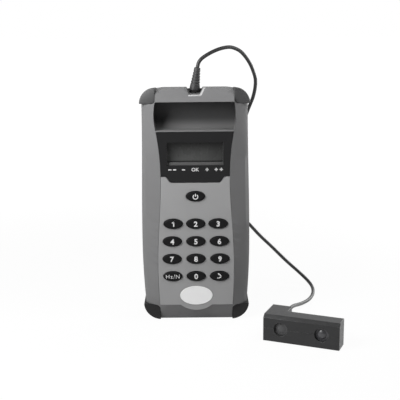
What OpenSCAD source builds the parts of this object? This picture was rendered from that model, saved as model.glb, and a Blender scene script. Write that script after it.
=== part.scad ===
// Hand-held belt tension tester: a keypad case with a probe head on a cable.
// Millimetres. The case stands on its base at z = 0 and faces -Y.

/* [Case] */
// Height of the case at its middle
case_h = 190.5; // [186:0.5:196]
// Half of the case width at its widest
case_half_w = 43.5; // [43:0.5:46]
// Depth from the keypad face to the back
case_d = 36; // [35.5:0.5:40]
// Thickness of the case walls
wall = 2.2; // [1.9:0.1:2.4]

/* [Keypad] */
// Width of a key
key_w = 15.3; // [13:0.1:15.6]
// Height of a key
key_h = 8.2; // [7:0.1:9]
// Greatest distance from one row of keys to the next
key_pitch = 14.6; // [13.5:0.1:15]
// How far a key stands out of the panel
key_proud = 1.3; // [0.8:0.1:2]
// Way that a key goes in when pressed
key_travel = 1; // [0.6:0.1:1]

/* [Display] */
// Width of the screen window
screen_w = 44; // [38:0.5:45]
// Height of the screen window
screen_h = 18; // [15:0.5:18.5]

/* [Probe bay] */
// Height of the bay
bay_h = 22.3; // [20:0.1:23]
// Depth of the bay
bay_d = 17; // [12:0.5:17]

/* [Probe head] */
// Length of the probe head
probe_l = 60; // [56:0.5:66]
// Height of the probe head
probe_h = 21; // [20:0.5:24]
// Depth of the bar that holds the eyes
probe_d = 13.7; // [13.5:0.1:16]
// Distance between the two eyes
eye_pitch = 32; // [28:0.5:34]
// Diameter of an eye
eye_dia = 10.8; // [9:0.1:11.2]

/* [Cable] */
// Diameter of the cable
cable_dia = 3; // [2.5:0.1:3.4]
// Length of the boot on the plug
boot_len = 17.7; // [16:0.1:20]

/* [Hidden] */
$fn = 48;
eps = 0.01;
gap = 0.15;
far = 300;

// Depths behind the keypad face; the battery lies between the parting line and its door
face_y = -22;
door_t = 1.8;
cell_t = 17.5;
cell_slack = 1.2;
cell_floor = 1.5;
cell_d = case_d - door_t - cell_slack - cell_t;
part_d = cell_d - cell_floor;
panel_t = 1.6;
front_t = 3.8;
mat_t = 1.2;
board_d = 6;
board_t = 1.6;
window_t = 1.8;

// Bay for the probe head
bay_bow = 1.3;
bay_wall = 1.3;

// Heights of the front, from the top down and from the base up
brow_h = 10.6;
ridge_h = 0.9;
display_h = 40.5;
ear_h = 4.9;
bay_top = case_h - brow_h;
bay_low = bay_top - bay_h;
display_top = bay_low - ridge_h;
display_low = display_top - display_h;
waist_z = display_low + ear_h;
chin_h = 14.4;
belly_z = 45;
side_z = 65;
brow_in = 9;
chin_in = 8.5;

// Half widths of the front, measured in from the sides; the keypad needs the least
least_half_w = 43.5;
half_w = max(case_half_w, least_half_w);
waist_from_side = 16.05;
belly_from_side = 12.7;
head_from_side = 12.8;
bay_from_side = 12.6;
waist_w = half_w - waist_from_side;
belly_w = half_w - belly_from_side;
head_w = half_w - head_from_side;
bay_w = half_w - bay_from_side;
edge_w = 3;
edge_in = 5.5;
side_in = 10;
head_taper = 1.6;
foot_taper = 3.4;
crown_r = 200;

function crease(z) =
    z < waist_z
        ? (belly_w + waist_w) / 2 + (belly_w - waist_w) / 2
            * cos(180 * (z - belly_z) / (waist_z - belly_z))
        : waist_w + (head_w - waist_w)
            * pow(min(1, (z - waist_z) / (display_top - waist_z)), 2);

function side(z) =
    z < side_z
        ? case_half_w - foot_taper * pow((side_z - z) / side_z, 2)
        : case_half_w - head_taper / 2
            * (1 - cos(180 * min(1, (z - side_z) / (bay_top - side_z))));

function face_in(z) =
    z < chin_h ? chin_in * (1 - z / chin_h)
    : z > bay_top ? brow_in * (z - bay_top) / brow_h
    : 0;

steps = 24;
stations = concat(
    [0, chin_h / 2],
    [for (i = [0:steps]) chin_h + (bay_top - chin_h) * i / steps],
    [case_h - brow_h / 2, case_h]
);

// One cross-section of the front shell, t in from the sides and f in from the face
function front_ring(z, t, f, deep) =
    let (
        y0 = face_in(z) + f,
        y1 = max(edge_in, face_in(z)) + (t > 0 ? t : 0),
        y2 = max(side_in, face_in(z)) + (t > 0 ? t : 0),
        x0 = crease(z) - t / 2,
        x1 = side(z) - edge_w - t,
        x2 = side(z) - t
    )
    [
        [-x2, deep, z], [-x2, y2, z], [-x1, max(y0, y1), z], [-x0, y0, z],
        [x0, y0, z], [x1, max(y0, y1), z], [x2, y2, z], [x2, deep, z]
    ];

module loft(rings)
{
    n = len(rings[0]);
    last = len(rings) - 1;
    sides = [
        for (i = [0:last - 1])
            for (j = [0:n - 1])
                let (k = (j + 1) % n)
                    each [
                        [i * n + j, (i + 1) * n + j, i * n + k],
                        [i * n + k, (i + 1) * n + j, (i + 1) * n + k]
                    ]
    ];
    polyhedron(
        points = [for (r = rings) each r],
        faces = concat(
            sides,
            [[for (j = [0:n - 1]) j]],
            [[for (j = [n - 1:-1:0]) last * n + j]]
        )
    );
}

// Everything in the case is drawn with the keypad face at y = 0 and then set back
module in_case()
{
    translate([0, face_y, 0])
        children();
}

// A flat shape drawn in x and z, run back from depth d over length t
module run(d, t)
{
    translate([0, d + t, 0])
        rotate([90, 0, 0])
            linear_extrude(t)
                children();
}

module round_at(x, z, d, t, r)
{
    translate([x, d, z])
        rotate([-90, 0, 0])
            cylinder(h = t, r = r);
}

module crown(t)
{
    round_at(0, case_h - crown_r, -far / 2, far, crown_r - t);
}

module front_form(t, f, deep)
{
    intersection() {
        loft([for (z = stations)
            front_ring(t > 0 ? min(max(z, t), case_h - t) : z, t, f, deep)]);
        crown(t);
    }
}

function outline(t) = concat(
    [for (z = stations) [side(z) - t, z]],
    [for (i = [len(stations) - 1:-1:0]) [t - side(stations[i]), stations[i]]]
);

// Back of the case: outline, cross-section and side view cut out of each other
back_edge = 6;
back_side_t = 14;
back_side = case_d - back_side_t;
back_low = 5;
back_top = 6.5;
back_top_h = 9;
back_low_h = 6;
top_drop = 1.6;

module rear_form(t, start)
{
    back = case_d - t;
    intersection() {
        run(start, back - start)
            polygon(outline(t));
        translate([0, 0, t])
            linear_extrude(case_h - 2 * t)
                polygon([
                    [-far, start], [far, start], [far, back_side],
                    [case_half_w + eps - t, back_side],
                    [case_half_w - edge_w - t, case_d - 4 - t],
                    [case_half_w - back_edge - t, back],
                    [back_edge + t - case_half_w, back],
                    [edge_w + t - case_half_w, case_d - 4 - t],
                    [t - case_half_w - eps, back_side], [-far, back_side]
                ]);
        rotate([90, 0, 90])
            translate([0, 0, -far / 2])
                linear_extrude(far)
                    polygon([
                        [start, t], [case_d - back_low - t, t],
                        [back, back_low_h + t / 2],
                        [back, case_h - back_top_h - t],
                        [case_d - back_top - t, case_h - top_drop - t], [start, case_h - t]
                    ]);
        crown(t);
    }
}

// Corner bumpers
top_r = 12.6;
low_r = 13.6;
top_from_side = 12.5;
low_from_side = 14;
top_x = half_w - top_from_side;
low_x = half_w - low_from_side;
inner_r = 3.2;
bump_front = 3;
bump_back = case_d - 3;
pillow = 2.4;
back_taper = 2.6;
corners = [
    [-1, 1, top_x, case_h + 0.3 - top_r, top_r, back_taper],
    [1, 1, top_x, case_h + 0.3 - top_r, top_r, back_taper],
    [-1, -1, low_x, low_r, low_r, 0],
    [1, -1, low_x, low_r, low_r, 0]
];

module seat_2d(size, grow)
{
    offset(delta = grow)
        offset(r = inner_r)
            offset(delta = -inner_r)
                square(size);
}

module pad_2d(r, cut)
{
    offset(delta = -cut)
        intersection() {
            circle(r = r, $fn = 64);
            seat_2d(2 * r, 0);
        }
}

module at_corner(c)
{
    translate([c[0] * c[2], 0, c[3]])
        scale_mirror(c[0], c[1])
            children();
}

module scale_mirror(sx, sz)
{
    mirror([sx < 0 ? 1 : 0, 0, 0])
        mirror([0, 0, sz < 0 ? 1 : 0])
            children();
}

module corner_cuts(grow)
{
    for (c = corners)
        at_corner(c)
            run(-far / 2, far)
                seat_2d(far / 4, grow);
}

// Each upper bumper stands proud in front and comes down to the case at the back
module bumper(c)
{
    back_r = c[4] - c[5];
    color([0.12, 0.12, 0.13])
        in_case()
            at_corner(c)
                hull() {
                    run(bump_front + pillow, eps)
                        pad_2d(c[4], 0);
                    run(bump_front + pillow / 4, eps)
                        pad_2d(c[4], pillow / 3);
                    run(bump_front, eps)
                        pad_2d(c[4], pillow);
                    run(bump_back - pillow, eps)
                        pad_2d(back_r, 0);
                    run(bump_back - pillow / 4, eps)
                        pad_2d(back_r, pillow / 3);
                    run(bump_back - eps, eps)
                        pad_2d(back_r, pillow);
                }
}

// Socket and the notch in the top edge that its plug stands in
back_slope_in = 2.7;
socket_room = case_d - wall - back_slope_in - bay_d - bay_wall;
socket_d = bay_d + bay_wall + socket_room / 2;
socket_flange_r = min(5.6, socket_room / 2 - gap);
socket_r = min(5, socket_flange_r - 0.6);
notch_z = 5.5;
notch_w = 4.3;
notch_wide = 8;
notch_back = 6;
notch_end = socket_d + notch_back;
notch_chamfer = 0.9;
chamfer_start = 1;

module notch_2d(grow)
{
    low = case_h - notch_z - grow;
    polygon([
        [-notch_w - grow, low], [notch_w + grow, low],
        [notch_wide + grow, case_h + 1], [-notch_wide - grow, case_h + 1]
    ]);
}

// A ring of the notch's outline that follows the slope of the brow, f behind it
function notch_ring(grow, f) = [
    for (p = [
        [-notch_wide - grow, case_h + 1], [notch_wide + grow, case_h + 1],
        [notch_w + grow, case_h - notch_z - grow], [-notch_w - grow, case_h - notch_z - grow]
    ])
        [p[0], brow_in * (p[1] - bay_top) / brow_h + f, p[1]]
];

module notch_edge()
{
    loft([
        notch_ring(notch_chamfer + chamfer_start, -chamfer_start),
        notch_ring(0, notch_chamfer)
    ]);
}

// Screws that hold the two shells
screw_from_side = 9.5;
screw_x = half_w - screw_from_side;
screw_low = 30;
screw_top = display_top - 6;
boss_r = 3.6;
screw_r = 1.45;
head_r = 2.8;
head_t = 2;
screw_depth = 12;
screw_seat = case_d - screw_depth;
screw_end = 5.4;
screw_spots = [
    [-screw_x, screw_low], [screw_x, screw_low],
    [-screw_x, screw_top], [screw_x, screw_top]
];

// Screws that hold the board
board_screw_r = 0.95;
board_boss_r = 2.8;
board_from_side = 14.5;
board_half_w = half_w - board_from_side;
board_low = 17;
board_top = display_top - 4.4;
spot_low_x = board_half_w - 3;
spot_low_z = board_low + 4;
spot_top_x = board_half_w - 5;
spot_top_z = display_low + 7.6;
board_spots = [
    [-spot_low_x, spot_low_z], [spot_low_x, spot_low_z],
    [-spot_top_x, spot_top_z], [spot_top_x, spot_top_z]
];

// Shape of the front openings
module bay_2d(inset)
{
    half = bay_h / 2;
    r = (half * half + bay_bow * bay_bow) / (2 * bay_bow);
    intersection() {
        translate([bay_w + bay_bow - r, bay_low + half])
            circle(r = r - inset, $fn = 180);
        translate([r - bay_w - bay_bow, bay_low + half])
            circle(r = r - inset, $fn = 180);
        translate([-far / 2, bay_low + inset])
            square([far, bay_h - 2 * inset]);
    }
}

// Lower edge of the display, with an ear at each end
tab_in = 19;
tab_out = 24;
function display_edge(x) =
    abs(x) <= tab_in ? display_low
    : abs(x) >= tab_out ? waist_z
    : display_low + ear_h * (1 - cos(180 * (abs(x) - tab_in) / (tab_out - tab_in))) / 2;

edge_steps = 14;
function edge_xs() = [
    for (i = [0:edge_steps]) tab_in + (tab_out - tab_in) * i / edge_steps
];

function display_points(cut) = concat(
    [for (i = [0:10]) let (z = display_top - cut - (display_top - waist_z - 2 * cut) * i / 10)
        [crease(z) - cut, z]],
    [for (i = [edge_steps:-1:0]) let (x = edge_xs()[i]) [x - cut, display_edge(x) + cut]],
    [for (x = edge_xs()) [cut - x, display_edge(x) + cut]],
    [for (i = [10:-1:0]) let (z = display_top - cut - (display_top - waist_z - 2 * cut) * i / 10)
        [cut - crease(z), z]]
);

function panel_points(cut) = concat(
    [for (i = [0:20]) let (z = chin_h + (waist_z - 2 * cut - chin_h) * i / 20)
        [crease(z) - cut, z]],
    [for (i = [edge_steps:-1:0]) let (x = edge_xs()[i]) [x + cut, display_edge(x) - 2 * cut]],
    [for (x = edge_xs()) [-x - cut, display_edge(x) - 2 * cut]],
    [for (i = [20:-1:0]) let (z = chin_h + (waist_z - 2 * cut - chin_h) * i / 20)
        [cut - crease(z), z]]
);

function oval(a, b, n) = [for (i = [0:n - 1]) [a * cos(360 * i / n), b * sin(360 * i / n)]];

// Badge and the tab of the panel around it
badge_z = 22.3;
badge_a = 13.2;
badge_b = 7.9;
badge_t = 0.8;
badge_in = 0.5;
tab_a = 16.5;
tab_b = 12.6;

module tab_2d(grow)
{
    translate([0, badge_z])
        polygon(oval(tab_a + grow, tab_b + grow, 72));
}

module panel_2d(cut)
{
    polygon(panel_points(cut));
    tab_2d(-cut);
}

module keypad_hole_2d()
{
    low = 31;
    top = display_low - 4;
    polygon(concat(
        [for (i = [0:16]) let (z = low + (top - low) * i / 16) [crease(z) - 2.2, z]],
        [for (i = [16:-1:0]) let (z = low + (top - low) * i / 16) [2.2 - crease(z), z]]
    ));
}

// Screen
screen_rise = 13.8;
screen_z = display_low + screen_rise;
frame_edge = 3;
glass_d = 4.2;
glass_edge = 1.5;

module screen_box(grow, d, t)
{
    translate([-screen_w / 2 - grow, d, screen_z - grow])
        cube([screen_w + 2 * grow, t, screen_h + 2 * grow]);
}

module front_shell()
{
    color([0.55, 0.55, 0.56])
        in_case()
            difference() {
                union() {
                    front_form(0, 0, part_d);
                    intersection() {
                        run(panel_t, chin_in)
                            tab_2d(gap);
                        translate([-far / 2, 0, 0])
                            cube([far, part_d, far]);
                    }
                }
                difference() {
                    front_form(wall, front_t, part_d + 1);
                    corner_cuts(wall);
                    run(-far / 2, far)
                        notch_2d(wall);
                    for (s = screw_spots)
                        round_at(s[0], s[1], 0, part_d, boss_r);
                    for (s = board_spots)
                        round_at(s[0], s[1], 0, board_d, board_boss_r);
                }
                corner_cuts(0);
                run(-far / 2, far)
                    notch_2d(0);
                notch_edge();
                run(-5, far)
                    bay_2d(0);
                run(front_t, far)
                    bay_2d(-bay_wall - gap);
                run(-5, 5 + window_t)
                    polygon(display_points(0));
                screen_box(frame_edge, 0, part_d);
                run(-5, 5 + panel_t)
                    panel_2d(0);
                run(0, part_d)
                    keypad_hole_2d();
                for (s = screw_spots)
                    round_at(s[0], s[1], screw_end, part_d, screw_r + gap / 2);
                for (s = board_spots)
                    round_at(s[0], s[1], 2.6, board_d, board_screw_r + gap / 3);
            }
}

// Battery, its snap and its door
cell_w = 26.5;
cell_h = 48.5;
cell_z = 26;
cell_room = 0.75;
box_wall = 2;
snap_h = 4;
box_h = cell_h + snap_h + 4;
door_half_w = 17;
door_low = 20;
door_h = 68;
door_gap = 0.25;
ledge = 2.4;
terminal_r = 4;
terminal_h = 2.6;
terminal_x = 6.4;

// Socket, plug and boot
socket_h = 15;
socket_top = case_h - notch_z;
socket_wall = 1.6;
bore_r = socket_r - socket_wall;
plug_r = bore_r - gap;
plug_h = 12;
collar_out = 0.85;
collar_r = plug_r + collar_out;
collar_h = 2;
boot_out = 0.2;
boot_low_r = collar_r + boot_out;
boot_top_r = cable_dia / 2 + 0.95;
boot_lean = 8;

module cell_room_box(grow, d, t)
{
    half = cell_w / 2 + cell_room + grow;
    translate([-half, d, cell_z - grow])
        cube([2 * half, t, box_h + 2 * grow]);
}

module rear_shell()
{
    color([0.5, 0.5, 0.51])
        in_case()
            difference() {
                rear_form(0, part_d);
                difference() {
                    rear_form(wall, part_d - 1);
                    corner_cuts(wall);
                    run(0, notch_end + wall)
                        notch_2d(wall);
                    for (s = screw_spots)
                        round_at(s[0], s[1], part_d, far, boss_r + 1);
                    cell_room_box(box_wall, part_d, far);
                    translate([-door_half_w - ledge, case_d - door_t - ledge, door_low - ledge])
                        cube([2 * (door_half_w + ledge), far, door_h + 2 * ledge]);
                }
                corner_cuts(0);
                run(0, notch_end)
                    notch_2d(0);
                run(0, bay_d + bay_wall + gap)
                    bay_2d(-bay_wall - gap);
                translate([0, socket_d, socket_top - socket_h])
                    cylinder(h = socket_h + 1, r = socket_r);
                cell_room_box(0, cell_d, far);
                translate([-door_half_w - door_gap, case_d - door_t, door_low - door_gap])
                    cube([2 * (door_half_w + door_gap), far, door_h + 2 * door_gap]);
                for (s = screw_spots) {
                    round_at(s[0], s[1], part_d - 1, far, screw_r + gap);
                    round_at(s[0], s[1], screw_seat, far, head_r + gap);
                }
            }
}

module bumper_top_left() { bumper(corners[0]); }
module bumper_top_right() { bumper(corners[1]); }
module bumper_bottom_left() { bumper(corners[2]); }
module bumper_bottom_right() { bumper(corners[3]); }

// The bay's inner shape: flat roof, coved floor
cove_d = 7;
cove_h = 12;
cove_steps = 16;
module bay_liner()
{
    color([0.13, 0.13, 0.14])
        in_case()
            difference() {
                run(front_t, bay_d + bay_wall - front_t)
                    bay_2d(-bay_wall);
                corner_cuts(gap);
                intersection() {
                    run(-1, bay_d + 1)
                        bay_2d(0);
                    rotate([90, 0, 90])
                        translate([0, 0, -far / 2])
                            linear_extrude(far)
                                polygon(concat(
                                    [[-1, bay_top + 1], [-1, bay_low]],
                                    [for (i = [0:cove_steps]) let (a = 90 * i / cove_steps) [
                                        bay_d - cove_d + cove_d * sin(a),
                                        bay_low + cove_h * (1 - cos(a))
                                    ]],
                                    [[bay_d, bay_top + 1]]
                                ));
                }
            }
}

module display_window()
{
    color([0.1, 0.1, 0.11])
        in_case()
            difference() {
                run(0, window_t)
                    polygon(display_points(gap));
                screen_box(0.2, -1, far);
            }
}

lip_h = 2;
lip_t = 0.9;
module lcd_frame()
{
    color([0.2, 0.2, 0.21])
        in_case()
            difference() {
                screen_box(frame_edge - gap, window_t, board_d - window_t);
                translate([-screen_w / 2, 0, 0])
                    rotate([90, 0, 90])
                        linear_extrude(screen_w)
                            polygon([
                                [0, screen_z], [window_t, screen_z],
                                [window_t + lip_t, screen_z + lip_h],
                                [board_d + 1, screen_z + lip_h],
                                [board_d + 1, screen_z + screen_h], [0, screen_z + screen_h]
                            ]);
                screen_box(glass_edge, glass_d, far);
            }
}

module lcd_glass()
{
    color([0.3, 0.33, 0.3])
        in_case()
            screen_box(glass_edge - gap, glass_d, board_d - glass_d);
}

// Keys: three columns, spread a little wider on the lower rows
row_low = badge_z + badge_b + 8.6;
power_z = display_low - 11.1;
power_rows = 1.4;
row_step = min(key_pitch, (power_z - row_low) / (3 + power_rows));
top_column_in = 9.45;
mid_column_in = 11.9;
low_column_in = 11.5;
column_top = waist_w - top_column_in;
column_mid = belly_w - mid_column_in;
column_low = belly_w - low_column_in;
flange = 1;
flange_t = 1.1;
flange_d = panel_t + 0.05;
stem_r = 2;
stem_room = 0.1;
stem_end = board_d - key_travel - stem_room;
row_columns = [column_mid, column_low, column_mid, column_top];
function key_spot(i) =
    let (row = 3 - floor(i / 3), column = i % 3 - 1)
    [column * row_columns[row], row_low + row * row_step];
key_spots = concat([for (i = [0:11]) key_spot(i)], [[0, power_z]]);

module key_2d(grow)
{
    polygon(oval(key_w / 2 + grow, key_h / 2 + grow, 48));
}

module keypad_panel()
{
    color([0.6, 0.6, 0.61])
        in_case()
            difference() {
                run(0, panel_t)
                    panel_2d(gap);
                for (s = key_spots)
                    translate([s[0], 0, s[1]])
                        run(-1, far)
                            key_2d(0.25);
                translate([0, 0, badge_z])
                    run(-1, 1 + badge_in)
                        polygon(oval(badge_a + gap, badge_b + gap, 72));
            }
}

module badge_plate()
{
    color([0.9, 0.9, 0.9])
        in_case()
            translate([0, 0, badge_z])
                run(badge_in - badge_t, badge_t)
                    polygon(oval(badge_a, badge_b, 72));
}

module keypad_mat()
{
    low = 28;
    top = display_low - 2;
    rim = 1.6;
    color([0.25, 0.25, 0.26])
        in_case()
            difference() {
                run(front_t, board_d - front_t)
                    polygon(concat(
                        [for (i = [0:16]) let (z = low + (top - low) * i / 16) [crease(z) - 1.4, z]],
                        [for (i = [16:-1:0]) let (z = low + (top - low) * i / 16) [1.4 - crease(z), z]]
                    ));
                run(front_t + mat_t, far)
                    polygon(concat(
                        [for (i = [0:16]) let (z = low + rim + (top - low - 2 * rim) * i / 16)
                            [crease(z) - 1.4 - rim, z]],
                        [for (i = [16:-1:0]) let (z = low + rim + (top - low - 2 * rim) * i / 16)
                            [1.4 + rim - crease(z), z]]
                    ));
                for (s = key_spots)
                    round_at(s[0], s[1], 0, far, stem_r + 0.6);
            }
}

module key_cap(i)
{
    color([0.08, 0.08, 0.09])
        in_case()
            translate([key_spots[i][0], 0, key_spots[i][1]]) {
                hull() {
                    run(-key_proud, eps)
                        key_2d(-1.9);
                    run(-key_proud * 0.75, eps)
                        key_2d(-0.8);
                    run(-key_proud * 0.3, eps)
                        key_2d(-0.1);
                    run(0, flange_d)
                        key_2d(0);
                }
                run(flange_d - eps, flange_t + eps)
                    key_2d(flange);
                round_at(0, 0, flange_d + flange_t - eps, stem_end - flange_d - flange_t, stem_r);
            }
}

module key_1() { key_cap(0); }
module key_2() { key_cap(1); }
module key_3() { key_cap(2); }
module key_4() { key_cap(3); }
module key_5() { key_cap(4); }
module key_6() { key_cap(5); }
module key_7() { key_cap(6); }
module key_8() { key_cap(7); }
module key_9() { key_cap(8); }
module key_function() { key_cap(9); }
module key_0() { key_cap(10); }
module key_enter() { key_cap(11); }
module power_key() { key_cap(12); }

module main_board()
{
    color([0.1, 0.35, 0.2])
        in_case()
            difference() {
                translate([-board_half_w, board_d, board_low])
                    cube([2 * board_half_w, board_t, board_top - board_low]);
                for (s = board_spots)
                    round_at(s[0], s[1], 0, far, board_screw_r + gap);
            }
}

// Pieces on the back of the board
chip_side = 12;
chip_t = 1.6;
chip_below = 24.2;
small_w = 5;
small_h = 8;
small_t = 1.2;
small_from_middle = 10;
can_h = 5;
can_left_r = 3;
can_right_r = 2.5;
can_below = 4.2;
can_from_edge = 13;
pin_w = 10;
pin_t = 4;
pin_below = 12;

module board_chips()
{
    back = board_d + board_t;
    chip_z = display_low - chip_below;
    small_z = chip_z + (chip_side - small_h) / 2;
    can_z = display_low - can_below;
    can_x = board_half_w - can_from_edge;
    color([0.1, 0.1, 0.1])
        in_case() {
            translate([-chip_side / 2, back, chip_z])
                cube([chip_side, chip_t, chip_side]);
            translate([small_from_middle, back, small_z])
                cube([small_w, small_t, small_h]);
            translate([-small_from_middle - small_h, back, small_z])
                cube([small_h, small_t, small_w]);
            round_at(-can_x, can_z, back, can_h, can_left_r);
            round_at(can_x, can_z, back, can_h, can_right_r);
            translate([-pin_w / 2, back, display_top - pin_below])
                cube([pin_w, pin_t, small_w]);
        }
}

module screw_set(spots, seat, end, shank_r, cap_r, cap_t)
{
    for (s = spots) {
        round_at(s[0], s[1], end, seat - end + eps, shank_r);
        round_at(s[0], s[1], seat, cap_t, cap_r);
    }
}

module case_screws()
{
    color([0.6, 0.6, 0.6])
        in_case()
            screw_set(screw_spots, screw_seat, screw_end + 0.6, screw_r, head_r, head_t);
}

module board_screws()
{
    color([0.6, 0.6, 0.6])
        in_case()
            screw_set(board_spots, board_d + board_t, 2.9, board_screw_r, 2.1, 1.4);
}

module battery()
{
    color([0.35, 0.35, 0.38])
        in_case() {
            translate([-cell_w / 2, cell_d, cell_z])
                cube([cell_w, cell_t, cell_h]);
            for (s = [-1, 1])
                translate([s * terminal_x, cell_d + cell_t / 2, cell_z + cell_h - eps])
                    cylinder(h = terminal_h, r = terminal_r);
        }
}

module battery_snap()
{
    color([0.1, 0.1, 0.1])
        in_case()
            difference() {
                translate([-cell_w / 2 + 1, cell_d + 2.5, cell_z + cell_h])
                    cube([cell_w - 2, cell_t - 5, snap_h]);
                for (s = [-1, 1])
                    translate([s * terminal_x, cell_d + cell_t / 2, cell_z + cell_h - 1])
                        cylinder(h = terminal_h + 1.1, r = terminal_r + 0.2);
            }
}

module battery_door()
{
    groove_w = 14;
    groove_h = 1.2;
    groove_t = 0.8;
    groove_pitch = 2.4;
    groove_drop = 16;
    color([0.5, 0.5, 0.51])
        in_case()
            difference() {
                translate([-door_half_w, case_d - door_t, door_low])
                    cube([2 * door_half_w, door_t, door_h]);
                for (i = [0:4])
                    translate([
                        -groove_w / 2, case_d - groove_t,
                        door_low + door_h - groove_drop + groove_pitch * i
                    ])
                        cube([groove_w, far, groove_h]);
            }
}

module probe_socket()
{
    color([0.2, 0.2, 0.21])
        in_case()
            translate([0, socket_d, 0])
                difference() {
                    union() {
                        translate([0, 0, socket_top - socket_h])
                            cylinder(h = socket_h, r = socket_r);
                        translate([0, 0, socket_top - wall - 2])
                            cylinder(h = 2, r = socket_flange_r);
                    }
                    translate([0, 0, socket_top - plug_h - 1])
                        cylinder(h = far, r = bore_r);
                }
}

module probe_plug()
{
    color([0.15, 0.15, 0.16])
        in_case()
            translate([0, socket_d, 0]) {
                translate([0, 0, socket_top - plug_h])
                    cylinder(h = plug_h + eps, r = plug_r);
                translate([0, 0, socket_top])
                    cylinder(h = collar_h, r = collar_r);
            }
}

module plug_boot()
{
    foot = 1;
    grow = (boot_low_r - boot_top_r) * foot / boot_len;
    color([0.1, 0.1, 0.11])
        in_case()
            translate([0, socket_d, socket_top + collar_h])
                difference() {
                    rotate([0, boot_lean, 0])
                        translate([0, 0, -foot])
                            cylinder(h = boot_len + foot, r1 = boot_low_r + grow, r2 = boot_top_r);
                    translate([-far / 2, -far / 2, -far])
                        cube([far, far, far]);
                }
}

// Probe head: u along it, v back from its front, w up; its right end is nearer
probe_x = 51.5;
probe_y = -64.3;
probe_yaw = 22.6;
heel_l = 15.4;
heel_d = 25;
shell_t = 1.8;
split_w = probe_h / 2;
bevel = 2.4;
gland_u = 11.5;
gland_w = split_w + 5.5;
gland_r = 3.1;
gland_top_r = cable_dia / 2 + 0.7;
gland_len = 6;
collar_t = 1.6;
probe_screw_r = 0.95;
probe_spots = [[probe_l / 2, probe_d - 2.8], [4.6, heel_d - 4.8]];
probe_boss_r = 2.6;
roof_extra = 0.6;

function probe_at(u, v, w) = [
    probe_x + u * cos(probe_yaw) + v * sin(probe_yaw),
    probe_y - u * sin(probe_yaw) + v * cos(probe_yaw),
    w
];

module in_probe()
{
    translate([probe_x, probe_y, 0])
        rotate([0, 0, -probe_yaw])
            children();
}

module probe_2d(t)
{
    polygon([
        [t, t], [probe_l - t, t], [probe_l - t, probe_d - t],
        [heel_l - t, probe_d - t], [heel_l - t, heel_d - t], [t, heel_d - t]
    ]);
}

module eye_bores(r)
{
    for (s = [-1, 1])
        translate([probe_l / 2 + s * eye_pitch / 2, -1, split_w])
            rotate([-90, 0, 0])
                cylinder(h = shell_t + 1.5, r = r);
}

module probe_room(low, top)
{
    difference() {
        translate([0, 0, low])
            linear_extrude(top - low)
                probe_2d(shell_t);
        for (s = probe_spots)
            translate([s[0], s[1], -1])
                cylinder(h = far, r = probe_boss_r);
    }
}

module probe_body()
{
    color([0.14, 0.14, 0.15])
        in_probe()
            difference() {
                linear_extrude(split_w)
                    probe_2d(0);
                probe_room(shell_t, far);
                eye_bores(eye_dia / 2);
                for (s = probe_spots) {
                    translate([s[0], s[1], -1])
                        cylinder(h = far, r = probe_screw_r + gap);
                    translate([s[0], s[1], -1])
                        cylinder(h = 3, r = 2.1);
                }
            }
}

module probe_cover()
{
    color([0.16, 0.16, 0.17])
        in_probe()
            difference() {
                translate([0, 0, split_w])
                    linear_extrude(probe_h - split_w)
                        probe_2d(0);
                probe_room(split_w - 1, probe_h - shell_t - roof_extra);
                eye_bores(eye_dia / 2);
                rotate([90, 0, 90])
                    translate([0, 0, -1])
                        linear_extrude(far)
                            polygon([
                                [-1, probe_h - bevel - 1], [bevel + 1, probe_h + 1],
                                [-1, probe_h + 1]
                            ]);
                for (s = probe_spots)
                    translate([s[0], s[1], split_w - 1])
                        cylinder(h = 7.5, r = probe_screw_r + gap / 3);
                translate([gland_u, heel_d - shell_t - 1, gland_w])
                    rotate([-90, 0, 0])
                        cylinder(h = far, r = gland_top_r);
            }
}

// Each lens is set back in its eye and bears on the wall from behind
lens_set = 1;
lens_end = 5.4;
module lens(side)
{
    r = eye_dia / 2 - 0.2;
    color([0.25, 0.25, 0.28])
        in_probe()
            translate([probe_l / 2 + side * eye_pitch / 2, lens_set, split_w])
                rotate([-90, 0, 0])
                    rotate_extrude()
                        union() {
                            translate([0, 1])
                                square([r, lens_end - lens_set - 1]);
                            translate([0, shell_t - lens_set])
                                square([r + 0.9, 1.2]);
                            intersection() {
                                translate([0, r * 1.1])
                                    circle(r = r * 1.1);
                                square([r * 0.82, shell_t]);
                            }
                        }
}

module probe_lens_left() { lens(-1); }
module probe_lens_right() { lens(1); }

board_v = 6.6;
board_end = 4;
probe_board_t = 1.2;
module probe_board()
{
    color([0.1, 0.35, 0.2])
        in_probe()
            difference() {
                translate([board_end, board_v, shell_t])
                    cube([
                        probe_l - 2 * board_end, probe_board_t, probe_h - 2 * shell_t - roof_extra
                    ]);
                for (s = probe_spots)
                    translate([s[0], s[1], -1])
                        cylinder(h = far, r = probe_boss_r + gap);
            }
}

module probe_diodes()
{
    color([0.2, 0.2, 0.3])
        in_probe()
            for (s = [-1, 1])
                translate([probe_l / 2 + s * eye_pitch / 2, lens_end, split_w])
                    rotate([-90, 0, 0])
                        cylinder(h = board_v - lens_end, r = 2.5);
}

module probe_screws()
{
    color([0.6, 0.6, 0.6])
        in_probe()
            for (s = probe_spots) {
                translate([s[0], s[1], 0.8])
                    cylinder(h = 1.2, r = 1.9);
                translate([s[0], s[1], 2 - eps])
                    cylinder(h = split_w + 3, r = probe_screw_r);
            }
}

module probe_gland()
{
    color([0.7, 0.7, 0.7])
        in_probe()
            translate([gland_u, heel_d, gland_w])
                rotate([-90, 0, 0]) {
                    translate([0, 0, -shell_t])
                        cylinder(h = shell_t + eps, r = gland_top_r);
                    cylinder(h = collar_t, r = gland_r);
                    translate([0, 0, collar_t - eps])
                        cylinder(h = gland_len - collar_t + eps, r1 = gland_r - 0.5, r2 = gland_top_r);
                }
}

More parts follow.
